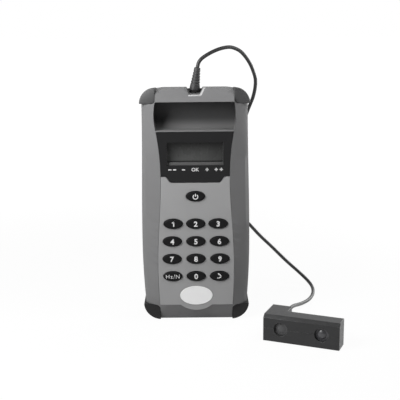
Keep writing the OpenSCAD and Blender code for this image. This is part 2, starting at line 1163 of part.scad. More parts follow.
// Cable: up out of the boot, over the right shoulder, down behind the case to the
// table, then forward in a hook to the back of the probe head
boot_tip = [
    boot_len * sin(boot_lean),
    face_y + socket_d,
    socket_top + collar_h + boot_len * cos(boot_lean)
];
gland_tip = probe_at(gland_u, heel_d + gland_len, gland_w);
boot_way = [sin(boot_lean), 0, cos(boot_lean)];
gland_way = [sin(probe_yaw), cos(probe_yaw), 0];
lie = 1.7;
route = concat(
    [boot_tip],
    [
        [3.5, 3, 208.3], [5.6, 3.2, 211.2], [9.5, 3.6, 214], [15, 4.5, 216.9], [21.5, 6, 219.2],
        [28, 8.5, 220], [33, 11, 218.7], [37.5, 13.5, 216], [41.5, 16, 211.6], [45.2, 19, 206],
        [48, 22, 199.7], [50, 25, 193], [50, 27, 186], [48.5, 29, 178], [46, 31, 171],
        [43.5, 33, 164], [39.5, 36.5, 150], [34.5, 41.5, 128], [31, 47, 105], [31.2, 51, 88],
        [35, 53, 76.8], [40.5, 54.8, 69], [48, 57.5, 60.5], [57, 61, 49.8], [68.5, 65.5, 37.6],
        [80, 69, 25.2], [87, 71, 18.2], [93, 71.5, 12.6], [98.5, 69, 7.8], [102.6, 63, 4.4],
        [104.3, 54, 2.6], [103.6, 44, 1.8], [101, 33, lie], [96.5, 21, 2.4], [90, 6, 5],
        [84.5, -9.5, 9.2], [80, -23, 13.2]
    ],
    [gland_tip + 6 * gland_way, gland_tip]
);

function blend(a, b, c, d, t) =
    0.5 * (2 * b + (c - a) * t + (2 * a - 5 * b + 4 * c - d) * t * t
        + (3 * b - a - 3 * c + d) * t * t * t);

last = len(route) - 1;
cuts = 2;
line = concat(
    [for (i = [0:last - 1]) for (k = [0:cuts - 1])
        blend(
            i == 0 ? 2 * route[0] - route[1] : route[i - 1],
            route[i],
            route[i + 1],
            i == last - 1 ? 2 * route[last] - route[last - 1] : route[i + 2],
            k / cuts
        )],
    [route[last]]
);

function unit(v) = v / norm(v);
function heading(i) =
    i == 0 ? boot_way
    : i == len(line) - 1 ? -gland_way
    : unit(line[i + 1] - line[i - 1]);
function carried(i) =
    i == 0
        ? unit(cross(heading(0), [0, 1, 0]))
        : let (p = carried(i - 1), h = heading(i)) unit(p - h * (p * h));

module probe_cable()
{
    sides = 8;
    r = cable_dia / 2;
    color([0.08, 0.08, 0.08])
        loft([
            for (i = [0:len(line) - 1])
                let (a = carried(i), b = cross(heading(i), a))
                    [for (j = [0:sides - 1])
                        line[i] + r * (cos(360 * j / sides) * a - sin(360 * j / sides) * b)]
        ]);
}

front_shell();
rear_shell();
bumper_top_left();
bumper_top_right();
bumper_bottom_left();
bumper_bottom_right();
bay_liner();
display_window();
lcd_frame();
lcd_glass();
keypad_panel();
badge_plate();
keypad_mat();
key_1();
key_2();
key_3();
key_4();
key_5();
key_6();
key_7();
key_8();
key_9();
key_function();
key_0();
key_enter();
power_key();
main_board();
board_chips();
board_screws();
case_screws();
battery();
battery_snap();
battery_door();
probe_socket();
probe_plug();
plug_boot();
probe_cable();
probe_body();
probe_cover();
probe_lens_left();
probe_lens_right();
probe_board();
probe_diodes();
probe_screws();
probe_gland();
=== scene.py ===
"""Hand-held belt tension tester with a probe head on a cable, dressed for a studio picture.

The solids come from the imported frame. This script adds the cable, softened skins, keys
with their signs, corner bumpers, lenses and small fittings, gives every surface its
finish, and sets up the camera and the light. Sizes are in millimetres unless a name
says otherwise.
"""

from __future__ import annotations

import logging
import math
from dataclasses import dataclass
from enum import Enum
from typing import Callable, Iterable, Sequence

import bpy
from mathutils import Matrix, Vector

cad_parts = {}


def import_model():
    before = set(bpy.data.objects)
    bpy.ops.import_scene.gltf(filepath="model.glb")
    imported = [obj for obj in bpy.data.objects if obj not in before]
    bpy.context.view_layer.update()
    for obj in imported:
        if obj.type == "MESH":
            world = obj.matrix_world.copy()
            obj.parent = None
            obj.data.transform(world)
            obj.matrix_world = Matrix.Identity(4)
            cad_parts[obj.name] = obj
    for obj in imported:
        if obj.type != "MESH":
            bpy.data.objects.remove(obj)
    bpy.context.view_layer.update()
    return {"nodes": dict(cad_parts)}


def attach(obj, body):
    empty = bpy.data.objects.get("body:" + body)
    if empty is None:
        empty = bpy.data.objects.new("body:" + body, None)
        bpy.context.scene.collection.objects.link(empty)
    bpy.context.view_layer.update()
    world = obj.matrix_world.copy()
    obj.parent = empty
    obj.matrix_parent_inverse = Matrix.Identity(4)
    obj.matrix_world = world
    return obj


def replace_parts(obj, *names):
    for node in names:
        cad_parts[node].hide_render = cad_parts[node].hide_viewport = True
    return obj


LOG = logging.getLogger("tester")
MM = 0.001
FACE_Y = -22.0
PROBE_YAW = 22.6
TEXT_SIZE_PER_HEIGHT = 1.38
Point = tuple[float, float, float]
Colour = tuple[float, float, float]
Stroke = tuple[float, float, float, float]
Piece = bpy.types.Object
Socket = bpy.types.NodeSocket
EdgeTest = Callable[[Vector, Vector], bool]
FaceTest = Callable[[bpy.types.MeshPolygon], bool]
SocketList = Sequence[tuple[str, str]]


class Body(Enum):
    """Bodies of the frame that pieces ride on."""

    CASE = "case"
    DOOR = "door"


class Corner(Enum):
    """Corners of the case, as the signs of x and of the height."""

    TOP_LEFT = (-1, 1)
    TOP_RIGHT = (1, 1)
    BOTTOM_LEFT = (-1, -1)
    BOTTOM_RIGHT = (1, -1)


class Eye(Enum):
    """The two eyes of the probe head, as the sign along its length."""

    LEFT = -1
    RIGHT = 1


class Element(Enum):
    """What can be picked on a mesh, as the mesh's own name for it."""

    FACE = "polygons"
    EDGE = "edges"


class Clear(Enum):
    """Side of a cut that is cleared, seen along the way that its plane faces."""

    NONE = 0
    OUTER = 1
    INNER = -1


# Working by hand: selection, edit mode and modifiers


def metres(point: Sequence[float]) -> list[float]:
    """Turns a place in millimetres into metres."""
    return [MM * c for c in point]


def clear_selection() -> None:
    """Goes back to object mode with nothing selected."""
    active = bpy.context.view_layer.objects.active
    if active is not None and active.mode != "OBJECT":
        bpy.ops.object.mode_set(mode="OBJECT")
    bpy.ops.object.select_all(action="DESELECT")


def take(obj: Piece) -> Piece:
    """Makes an object the only selected and active one.

    Args:
        obj: The object to work on.

    Returns:
        The same object.
    """
    clear_selection()
    obj.select_set(True)
    bpy.context.view_layer.objects.active = obj
    return obj


def settle(obj: Piece) -> Piece:
    """Puts an object's place, turn and scale into its mesh.

    Args:
        obj: The object to settle at the origin.

    Returns:
        The same object.
    """
    take(obj)
    bpy.ops.object.transform_apply(location=True, rotation=True, scale=True)
    return obj


def named(name: str) -> Piece:
    """Names the active object and its mesh.

    Args:
        name: The name of both.

    Returns:
        The active object.
    """
    obj = bpy.context.view_layer.objects.active
    obj.name = name
    obj.data.name = name
    return obj


def edit_all(obj: Piece) -> None:
    """Enters edit mode with everything selected.

    Args:
        obj: The mesh object.
    """
    take(obj)
    bpy.ops.object.mode_set(mode="EDIT")
    bpy.ops.mesh.select_all(action="SELECT")


def pick(obj: Piece, kind: Element, test: Callable[[object], bool]) -> None:
    """Enters edit mode with the faces or the edges selected that pass a test.

    Args:
        obj: The mesh object.
        kind: Whether faces or edges are picked.
        test: Says for one of them whether it is wanted.
    """
    take(obj)
    bpy.ops.object.mode_set(mode="EDIT")
    bpy.ops.mesh.select_mode(type=kind.name)
    bpy.ops.mesh.select_all(action="DESELECT")
    bpy.ops.object.mode_set(mode="OBJECT")
    for item in getattr(obj.data, kind.value):
        item.select = test(item)
    bpy.ops.object.mode_set(mode="EDIT")


def pick_faces(obj: Piece, test: FaceTest) -> None:
    """Enters edit mode with the faces selected that pass a test."""
    pick(obj, Element.FACE, test)


def round_edges(obj: Piece, width: float, segments: int, test: EdgeTest, **settings: object) -> None:
    """Rounds the edges whose two ends pass a test.

    Args:
        obj: The mesh object.
        width: Width of the rounding.
        segments: Faces across it.
        test: Takes the two ends of an edge, in metres, and says whether it is wanted.
        settings: Further settings of the bevel.
    """
    pick(obj, Element.EDGE, lambda edge: test(*[obj.data.vertices[i].co for i in edge.vertices]))
    bpy.ops.mesh.bevel(offset=width * MM, segments=segments, **settings)
    bpy.ops.object.mode_set(mode="OBJECT")


def at_depth(y: float) -> EdgeTest:
    """Makes a test for edges that lie at one depth."""
    return lambda a, b: max(abs(a.y - y * MM), abs(b.y - y * MM)) < 1e-6


def runs_back(a: Vector, b: Vector) -> bool:
    """Says whether an edge runs from front to back."""
    return abs(a.y - b.y) > 1e-6


def bisect(obj: Piece, at: Point, normal: Point, clear: Clear = Clear.NONE) -> None:
    """Cuts the whole mesh with a plane.

    Args:
        obj: The mesh object.
        at: A point of the plane.
        normal: Direction of the plane.
        clear: Side that is cleared, and closed with a face.
    """
    edit_all(obj)
    bpy.ops.mesh.bisect(
        plane_co=metres(at),
        plane_no=normal,
        use_fill=clear is not Clear.NONE,
        clear_outer=clear is Clear.OUTER,
        clear_inner=clear is Clear.INNER,
    )
    bpy.ops.object.mode_set(mode="OBJECT")


def done(obj: Piece, angle: float) -> Piece:
    """Leaves edit mode and shades a piece smooth up to an angle.

    Args:
        obj: The piece.
        angle: Edges sharper than this stay sharp, in degrees.

    Returns:
        The same piece.
    """
    take(obj)
    bpy.ops.object.shade_smooth_by_angle(angle=math.radians(angle))
    return obj


def modify(obj: Piece, kind: str, **settings: object) -> None:
    """Adds a modifier and applies it.

    Args:
        obj: The piece.
        kind: Blender's name of the modifier type.
        settings: Values of the modifier.
    """
    take(obj)
    modifier = obj.modifiers.new(kind.lower(), kind)
    for key, value in settings.items():
        setattr(modifier, key, value)
    bpy.ops.object.modifier_apply(modifier=modifier.name)


def copy_of(obj: Piece, name: str, move: Point) -> Piece:
    """Copies a piece with its own mesh.

    Args:
        obj: The piece to copy.
        name: Name of the copy.
        move: How far the copy is moved.

    Returns:
        The copy, with its place in its mesh.
    """
    take(obj)
    bpy.ops.object.duplicate(linked=False)
    twin = named(name)
    twin.location = metres(move)
    return settle(twin)


def join(parts: Sequence[Piece], name: str) -> Piece:
    """Joins several meshes into one piece.

    Args:
        parts: The meshes, of which the first takes the others.
        name: Name of the piece.

    Returns:
        The joined piece.
    """
    take(parts[0])
    for part in parts[1:]:
        part.select_set(True)
    bpy.ops.object.join()
    return named(name)


def cylinder(
    name: str, radius: float, front: float, back: float, at: tuple[float, float] = (0, 0), sides: int = 64
) -> Piece:
    """Adds a cylinder from front to back to start a piece from.

    Args:
        name: Name of the piece.
        radius: Its radius.
        front: Depth of its front end.
        back: Depth of its back end.
        at: Its axis, as x and height.
        sides: Number of sides.

    Returns:
        The cylinder, with its place in its mesh.
    """
    clear_selection()
    bpy.ops.mesh.primitive_cylinder_add(
        vertices=sides,
        radius=radius * MM,
        depth=(back - front) * MM,
        location=metres((at[0], (front + back) / 2, at[1])),
        rotation=(math.radians(90), 0, 0),
    )
    return settle(named(name))


def oval(
    name: str, half: tuple[float, float], front: float, back: float, z: float = 0, sides: int = 72
) -> Piece:
    """Adds an oval disc to start a piece from.

    Args:
        name: Name of the piece.
        half: Half of its width and of its height.
        front: Depth of its front.
        back: Depth of its back.
        z: Height of its middle.
        sides: Number of sides.

    Returns:
        The disc, with its place in its mesh.
    """
    obj = cylinder(name, half[1], front, back, sides=sides)
    obj.scale = (half[0] / half[1], 1, 1)
    obj.location = (0, 0, z * MM)
    return settle(obj)


def block(name: str, low: Point, high: Point) -> Piece:
    """Adds a box to start a piece from.

    Args:
        name: Name of the piece.
        low: Its lowest corner.
        high: Its highest corner.

    Returns:
        The box, with its place in its mesh.
    """
    clear_selection()
    bpy.ops.mesh.primitive_cube_add(size=1, location=[MM * (a + b) / 2 for a, b in zip(low, high)])
    obj = named(name)
    obj.scale = [MM * (b - a) for a, b in zip(low, high)]
    return settle(obj)


def bar(name: str, low: Point, high: Point, corner: float, segments: int = 3) -> Piece:
    """Models a flat bar of print with rounded corners.

    Args:
        name: Name of the bar.
        low: Its lowest corner.
        high: Its highest corner.
        corner: Width of the rounding.
        segments: Faces across the rounding.

    Returns:
        The bar.
    """
    obj = block(name, low, high)
    round_edges(obj, corner, segments, runs_back)
    return obj


def lettering(
    name: str, words: str, height: float, at: Point, bold: float, thick: float, apart: float = 1.0
) -> Piece:
    """Makes raised print that faces the front.

    Args:
        name: Name of the piece.
        words: What it says.
        height: Height of its tallest sign.
        at: Middle of its back, in the frame.
        bold: How far each outline is grown.
        thick: How far it stands out.
        apart: How far its signs stand apart, 1 being as usual.

    Returns:
        The print as a mesh.
    """
    clear_selection()
    bpy.ops.object.text_add()
    obj = bpy.context.view_layer.objects.active
    obj.data.body = words
    obj.data.size = height * MM * TEXT_SIZE_PER_HEIGHT
    obj.data.offset = bold * MM
    obj.data.space_character = apart
    obj.data.extrude = thick * MM / 2
    obj.data.resolution_u = 4
    bpy.ops.object.convert(target="MESH")
    obj = named(name)
    corners = [Vector(c) for c in obj.bound_box]
    middle = (corners[0] + corners[6]) / 2
    obj.data.transform(Matrix.Translation((-middle.x, -middle.y, 0)))
    obj.rotation_euler = (math.radians(90), 0, 0)
    obj.location = metres((at[0], at[1] - thick / 2, at[2]))
    return settle(obj)


def skin_of(nodes: dict[str, Piece], node: str) -> Piece:
    """Copies a solid's surface, merges its corners and shades it smooth.

    Args:
        nodes: The frame's nodes.
        node: Name of the node.

    Returns:
        The copy, which replaces the node.
    """
    source = nodes[node]
    mesh = source.data.copy()
    mesh.transform(source.matrix_world)
    obj = bpy.data.objects.new(node + "_skin", mesh)
    bpy.context.scene.collection.objects.link(obj)
    take(obj)
    if mesh.has_custom_normals:
        bpy.ops.mesh.customdata_custom_splitnormals_clear()
    edit_all(obj)
    bpy.ops.mesh.remove_doubles(threshold=2e-6)
    bpy.ops.object.mode_set(mode="OBJECT")
    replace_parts(obj, node)
    return done(obj, 30)


def softened(nodes: dict[str, Piece], node: str, width: float) -> Piece:
    """Copies a solid's surface and rounds its edges.

    Args:
        nodes: The frame's nodes.
        node: Name of the node.
        width: Width of the rounding.

    Returns:
        The rounded copy, which replaces the node.
    """
    obj = skin_of(nodes, node)
    edit_all(obj)
    bpy.ops.mesh.dissolve_limited(angle_limit=math.radians(0.6))
    bpy.ops.object.mode_set(mode="OBJECT")
    modify(
        obj,
        "BEVEL",
        width=width * MM,
        segments=3,
        limit_method="ANGLE",
        angle_limit=math.radians(35),
        use_clamp_overlap=True,
    )
    return done(obj, 38)


# Finishes


class Net:
    """A node tree under construction."""

    def __init__(self, tree: bpy.types.NodeTree) -> None:
        """Keeps the tree that nodes are added to."""
        self.tree = tree

    def add(
        self, kind: str, inputs: dict[str | int, object] | None = None, **values: object
    ) -> bpy.types.Node:
        """Adds a node.

        Args:
            kind: Blender's name of the node type.
            inputs: Socket to a value, or to another node's output.
            values: The node's own settings.

        Returns:
            The node.
        """
        node = self.tree.nodes.new(kind)
        for key, value in values.items():
            setattr(node, key, value)
        for key, value in (inputs or {}).items():
            if isinstance(value, Socket):
                self.tree.links.new(value, node.inputs[key])
            else:
                node.inputs[key].default_value = value
        return node

    def math(self, operation: str, *values: object, clamp: bool = False) -> Socket:
        """Adds a Math node.

        Args:
            operation: The operation.
            values: Its inputs, numbers or outputs.
            clamp: Whether the result is kept from 0 to 1.

        Returns:
            The node's output.
        """
        node = self.add("ShaderNodeMath", dict(enumerate(values)), operation=operation, use_clamp=clamp)
        return node.outputs[0]

    def mix(self, factor: object, a: object, b: object) -> Socket:
        """Mixes two colours.

        Args:
            factor: Share of the second colour.
            a: First colour.
            b: Second colour.

        Returns:
            The mixed colour.
        """
        return self.add("ShaderNodeMix", {0: factor, 6: a, 7: b}, data_type="RGBA").outputs[2]

    def ramp(
        self, value: object, low: float, high: float, to_low: float = 0.0, to_high: float = 1.0
    ) -> Socket:
        """Maps a value from one span to another with soft ends.

        Args:
            value: The output that is mapped.
            low: Start of its span.
            high: End of its span.
            to_low: Result at the start.
            to_high: Result at the end.

        Returns:
            The mapped value.
        """
        node = self.add(
            "ShaderNodeMapRange",
            {0: value, 1: low, 2: high, 3: to_low, 4: to_high},
            interpolation_type="SMOOTHSTEP",
        )
        return node.outputs[0]

    def noise(self, place: Socket, scale: object, **settings: float) -> Socket:
        """Adds noise.

        Args:
            place: The coordinates it lies on.
            scale: How fine it is.
            settings: Its Detail, and its Roughness where that isn't as usual.

        Returns:
            The noise.
        """
        return self.add("ShaderNodeTexNoise", {"Vector": place, "Scale": scale, **settings}).outputs[0]

    def scaled(self, colour: Socket, by: Socket) -> Socket:
        """Multiplies a colour by a number."""
        return self.add("ShaderNodeVectorMath", {0: colour, "Scale": by}, operation="SCALE").outputs[0]

    def place(self) -> Socket:
        """Gives the piece's own coordinates."""
        return self.add("ShaderNodeTexCoord").outputs["Object"]

    def rays(self) -> tuple[Socket, Socket, Socket]:
        """Tells kinds of light rays apart.

        Returns:
            Whether a ray is the camera's, is mirrored or let through, and is either of them.
        """
        ray = self.add("ShaderNodeLightPath").outputs
        clear = self.math("MAXIMUM", ray["Is Glossy Ray"], ray["Is Transmission Ray"])
        return ray["Is Camera Ray"], clear, self.math("MAXIMUM", ray["Is Camera Ray"], clear)

    def link(self, value: Socket, to: Socket) -> None:
        """Leads an output to an input."""
        self.tree.links.new(value, to)


class SharedGroup:
    """Shader node groups that several finishes use, each made once."""

    made: dict[str, bpy.types.NodeTree] = {}

    @classmethod
    def _start(
        cls, name: str, inputs: SocketList, outputs: SocketList
    ) -> tuple[Net, bpy.types.Node, bpy.types.Node]:
        """Makes an empty group.

        Args:
            name: Name of the group.
            inputs: Name and socket type of each input.
            outputs: Name and socket type of each output.

        Returns:
            The net, and its input and output nodes.
        """
        tree = bpy.data.node_groups.new(name, "ShaderNodeTree")
        for label, kind in inputs:
            tree.interface.new_socket(label, in_out="INPUT", socket_type=kind)
        for label, kind in outputs:
            tree.interface.new_socket(label, in_out="OUTPUT", socket_type=kind)
        cls.made[name] = tree
        net = Net(tree)
        return net, net.add("NodeGroupInput"), net.add("NodeGroupOutput")

    @classmethod
    def moulded_skin(cls) -> bpy.types.NodeTree:
        """Gives the group for moulded grain, cloudy colour, a colour on rounded edges and rounded normals;
        the edge colour is wear on most finishes and painted shade on the upper bumpers.

        Returns:
            The group.
        """
        name = "moulded skin"
        if name in cls.made:
            return cls.made[name]
        number, colour, vector = "NodeSocketFloat", "NodeSocketColor", "NodeSocketVector"
        labels = ("Grain Scale", "Grain Depth", "Cloud", "Wear", "Edge", "Roughness", "Spread")
        net, start, end = cls._start(
            name,
            [("Colour", colour), ("Worn Colour", colour), *[(label, number) for label in labels]],
            [("Colour", colour), ("Roughness", number), ("Normal", vector)],
        )
        given = start.outputs
        place = net.place()
        grain = net.noise(place, given["Grain Scale"], Detail=3.0, Roughness=0.6)
        cloud = net.noise(place, 85.0, Detail=4.0)
        scuff = net.noise(place, 420.0, Detail=5.0, Roughness=0.7)
        edge = net.add("ShaderNodeBevel", {"Radius": given["Edge"]}, samples=6).outputs[0]
        flat = net.add("ShaderNodeNewGeometry").outputs["Normal"]
        along = net.add("ShaderNodeVectorMath", {0: edge, 1: flat}, operation="DOT_PRODUCT").outputs["Value"]
        turn = net.math("SUBTRACT", 1.0, along)
        # Edge colour mask: wear where the edge colour is paler, painted shade where it is darker, as on the
        # upper bumpers.
        wear_and_shade_mask = net.math("MULTIPLY", net.ramp(turn, 0.02, 0.2), net.ramp(scuff, 0.42, 0.62))
        wear_and_shade_mask = net.math("MULTIPLY", wear_and_shade_mask, given["Wear"], clamp=True)

        def off(noise: Socket) -> Socket:
            """Shifts a noise so that its middle is 0."""
            return net.math("SUBTRACT", noise, 0.5)

        shade = net.math("MULTIPLY_ADD", off(cloud), given["Cloud"], 1.0)
        speck = net.math("MULTIPLY_ADD", off(grain), given["Cloud"], shade)
        rough = net.math("MULTIPLY_ADD", off(scuff), given["Spread"], given["Roughness"], clamp=True)
        tinted = net.scaled(given["Colour"], speck)
        net.link(net.mix(wear_and_shade_mask, tinted, given["Worn Colour"]), end.inputs["Colour"])
        net.link(rough, end.inputs["Roughness"])
        bump = net.add(
            "ShaderNodeBump",
            {"Strength": 1.0, "Distance": given["Grain Depth"], "Height": grain, "Normal": edge},
        )
        net.link(bump.outputs[0], end.inputs["Normal"])
        return net.tree

    @classmethod
    def seam(cls) -> bpy.types.NodeTree:
        """Gives the group for a thin line where a coordinate passes a place.

        Returns:
            The group.
        """
        name = "seam"
        if name in cls.made:
            return cls.made[name]
        number = "NodeSocketFloat"
        net, start, end = cls._start(
            name,
            [("Coordinate", number), ("Place", number), ("Half Width", number)],
            [("Mask", number)],
        )
        given = start.outputs
        off = net.math("ABSOLUTE", net.math("SUBTRACT", given["Coordinate"], given["Place"]))
        share = net.math("DIVIDE", off, given["Half Width"])
        net.link(net.ramp(share, 0.6, 1.0, 1.0, 0.0), end.inputs["Mask"])
        return net.tree


@dataclass(frozen=True)
class Seam:
    """A parting line drawn where one coordinate passes a place."""

    axis: int
    place: float
    half_width: float = 0.22
    colour: Colour = (0.01, 0.01, 0.01)


@dataclass(frozen=True)
class LowPaintedLight:
    """Painted light low down, where light reaches the bay's floor below the brow's shade: its tone, the
    height where it is full and the height where it ends.
    """

    colour: Colour
    thick: float
    clear: float


@dataclass(frozen=True)
class Gloss:
    """How a surface shines: its roughness, how much that varies, and strength of the shine."""

    roughness: float
    spread: float = 0.1
    shine: float = 0.4


@dataclass(frozen=True)
class Wear:
    """Colour on rounded edges, which is wear on most finishes and painted shade where it is darker than the
    surface, as on the upper bumpers: its colour, how strong it is, and how wide an edge it takes.
    """

    colour: Colour
    strength: float = 0.5
    edge: float = 0.5


@dataclass(frozen=True)
class Grain:
    """Moulded grain: size of a grain, its depth, and how cloudy the colour is."""

    size: float = 0.35
    depth: float = 0.03
    cloud: float = 0.12


def grey(level: float, cool: float = 0.0) -> Colour:
    """Gives a grey, with a little more blue where it is cool."""
    return (level, level, level + cool)


def new_material(name: str) -> tuple[bpy.types.Material, Net, bpy.types.Node]:
    """Starts a material.

    Args:
        name: Name of the material.

    Returns:
        The material, its net and its shader.
    """
    material = bpy.data.materials.new(name)
    material.use_nodes = True
    return material, Net(material.node_tree), material.node_tree.nodes["Principled BSDF"]


@dataclass(frozen=True)
class Finish:
    """A moulded surface: plastic, rubber or painted sheet."""

    name: str
    colour: Colour
    gloss: Gloss
    wear: Wear
    grain: Grain = Grain()
    metal: float = 0.0
    seam: Seam | None = None
    low_painted_light: LowPaintedLight | None = None

    def make(self) -> bpy.types.Material:
        """Builds the material.

        Returns:
            The material.
        """
        material, net, shader = new_material(self.name)
        shader.inputs["Metallic"].default_value = self.metal
        shader.inputs["Specular IOR Level"].default_value = self.gloss.shine
        values = {
            "Colour": (*self.colour, 1),
            "Worn Colour": (*self.wear.colour, 1),
            "Grain Scale": 1 / (self.grain.size * MM),
            "Grain Depth": self.grain.depth * MM,
            "Cloud": self.grain.cloud,
            "Wear": self.wear.strength,
            "Edge": self.wear.edge * MM,
            "Roughness": self.gloss.roughness,
            "Spread": self.gloss.spread,
        }
        skin = net.add("ShaderNodeGroup", node_tree=SharedGroup.moulded_skin())
        for key, value in values.items():
            skin.inputs[key].default_value = value
        net.link(self.marked(net, skin.outputs["Colour"]), shader.inputs["Base Color"])
        for key in ("Roughness", "Normal"):
            net.link(skin.outputs[key], shader.inputs[key])
        return material

    def marked(self, net: Net, colour: Socket) -> Socket:
        """Lays painted light low down and a parting line over a colour.

        Args:
            net: The material's net.
            colour: The colour so far.

        Returns:
            The colour with what the finish has of them.
        """
        if self.low_painted_light is None and self.seam is None:
            return colour
        axes = net.add("ShaderNodeSeparateXYZ", {0: net.place()}).outputs
        # Painted light: a lighter colour low down that fades out with height.
        if self.low_painted_light is not None:
            share = net.ramp(axes[2], self.low_painted_light.thick * MM, self.low_painted_light.clear * MM, 1.0, 0.0)
            colour = net.mix(share, colour, (*self.low_painted_light.colour, 1))
        if self.seam is not None:
            line = net.add("ShaderNodeGroup", node_tree=SharedGroup.seam())
            net.link(axes[self.seam.axis], line.inputs["Coordinate"])
            line.inputs["Place"].default_value = self.seam.place * MM
            line.inputs["Half Width"].default_value = self.seam.half_width * MM
            colour = net.mix(line.outputs["Mask"], colour, (*self.seam.colour, 1))
        return colour


@dataclass(frozen=True)
class ScreenFinish:
    """The face of a character screen that is switched off."""

    name: str = "screen off"
    cell: tuple[float, float] = (2.5, 5.4)
    line: float = 0.25
    low: float = 133.0
    high: float = 147.5
    # Painted shade: tone of the glass at its foot and at its top.
    shade_tones: tuple[float, float] = (0.058, 0.022)
    shine: float = 0.2

    def cells(self, net: Net, axes: Sequence[Socket]) -> Socket:
        """Draws the faint cells of the characters.

        Args:
            net: The material's net.
            axes: The piece's coordinates.

        Returns:
            Their tint.
        """
        flat = net.add("ShaderNodeCombineXYZ", {0: axes[0], 1: axes[2]})
        return net.add(
            "ShaderNodeTexBrick",
            {
                "Vector": flat.outputs[0],
                "Color1": (0.96, 0.98, 0.96, 1),
                "Color2": (0.98, 1.0, 0.98, 1),
                "Mortar": (1.04, 1.06, 1.04, 1),
                "Scale": 1.0,
                "Mortar Size": self.line * MM,
                "Brick Width": self.cell[0] * MM,
                "Row Height": self.cell[1] * MM,
            },
            offset=0.0,
        ).outputs["Color"]

    def make(self) -> bpy.types.Material:
        """Builds the material.

        Returns:
            Dark glass with painted shade, darker towards the top under the frame and lighter low down, with
            a hint of its character cells.
        """
        material, net, shader = new_material(self.name)
        shader.inputs["Specular IOR Level"].default_value = self.shine
        place = net.place()
        axes = net.add("ShaderNodeSeparateXYZ", {0: place}).outputs
        haze = net.noise(place, 140.0, Detail=3.0)
        # Painted shade: the glass darkens from its foot up towards the frame at the top.
        painted_shade_rise = net.ramp(axes[2], self.low * MM, self.high * MM, *self.shade_tones)
        fade = net.ramp(net.math("ABSOLUTE", axes[0]), 4 * MM, 22 * MM, 1.1, 0.75)
        foot = net.ramp(axes[2], (self.low - 0.2) * MM, (self.low + 0.3) * MM, 0.25, 1.0)
        tone = net.ramp(haze, 0.2, 0.8, 0.9, 1.1)
        for share in (painted_shade_rise, fade, foot):
            tone = net.math("MULTIPLY", tone, share)
        net.link(net.scaled(self.cells(net, axes), tone), shader.inputs["Base Color"])
        net.link(net.ramp(haze, 0.3, 0.7, 0.22, 0.32), shader.inputs["Roughness"])
        return material


PARTING = Seam(1, -8.0)


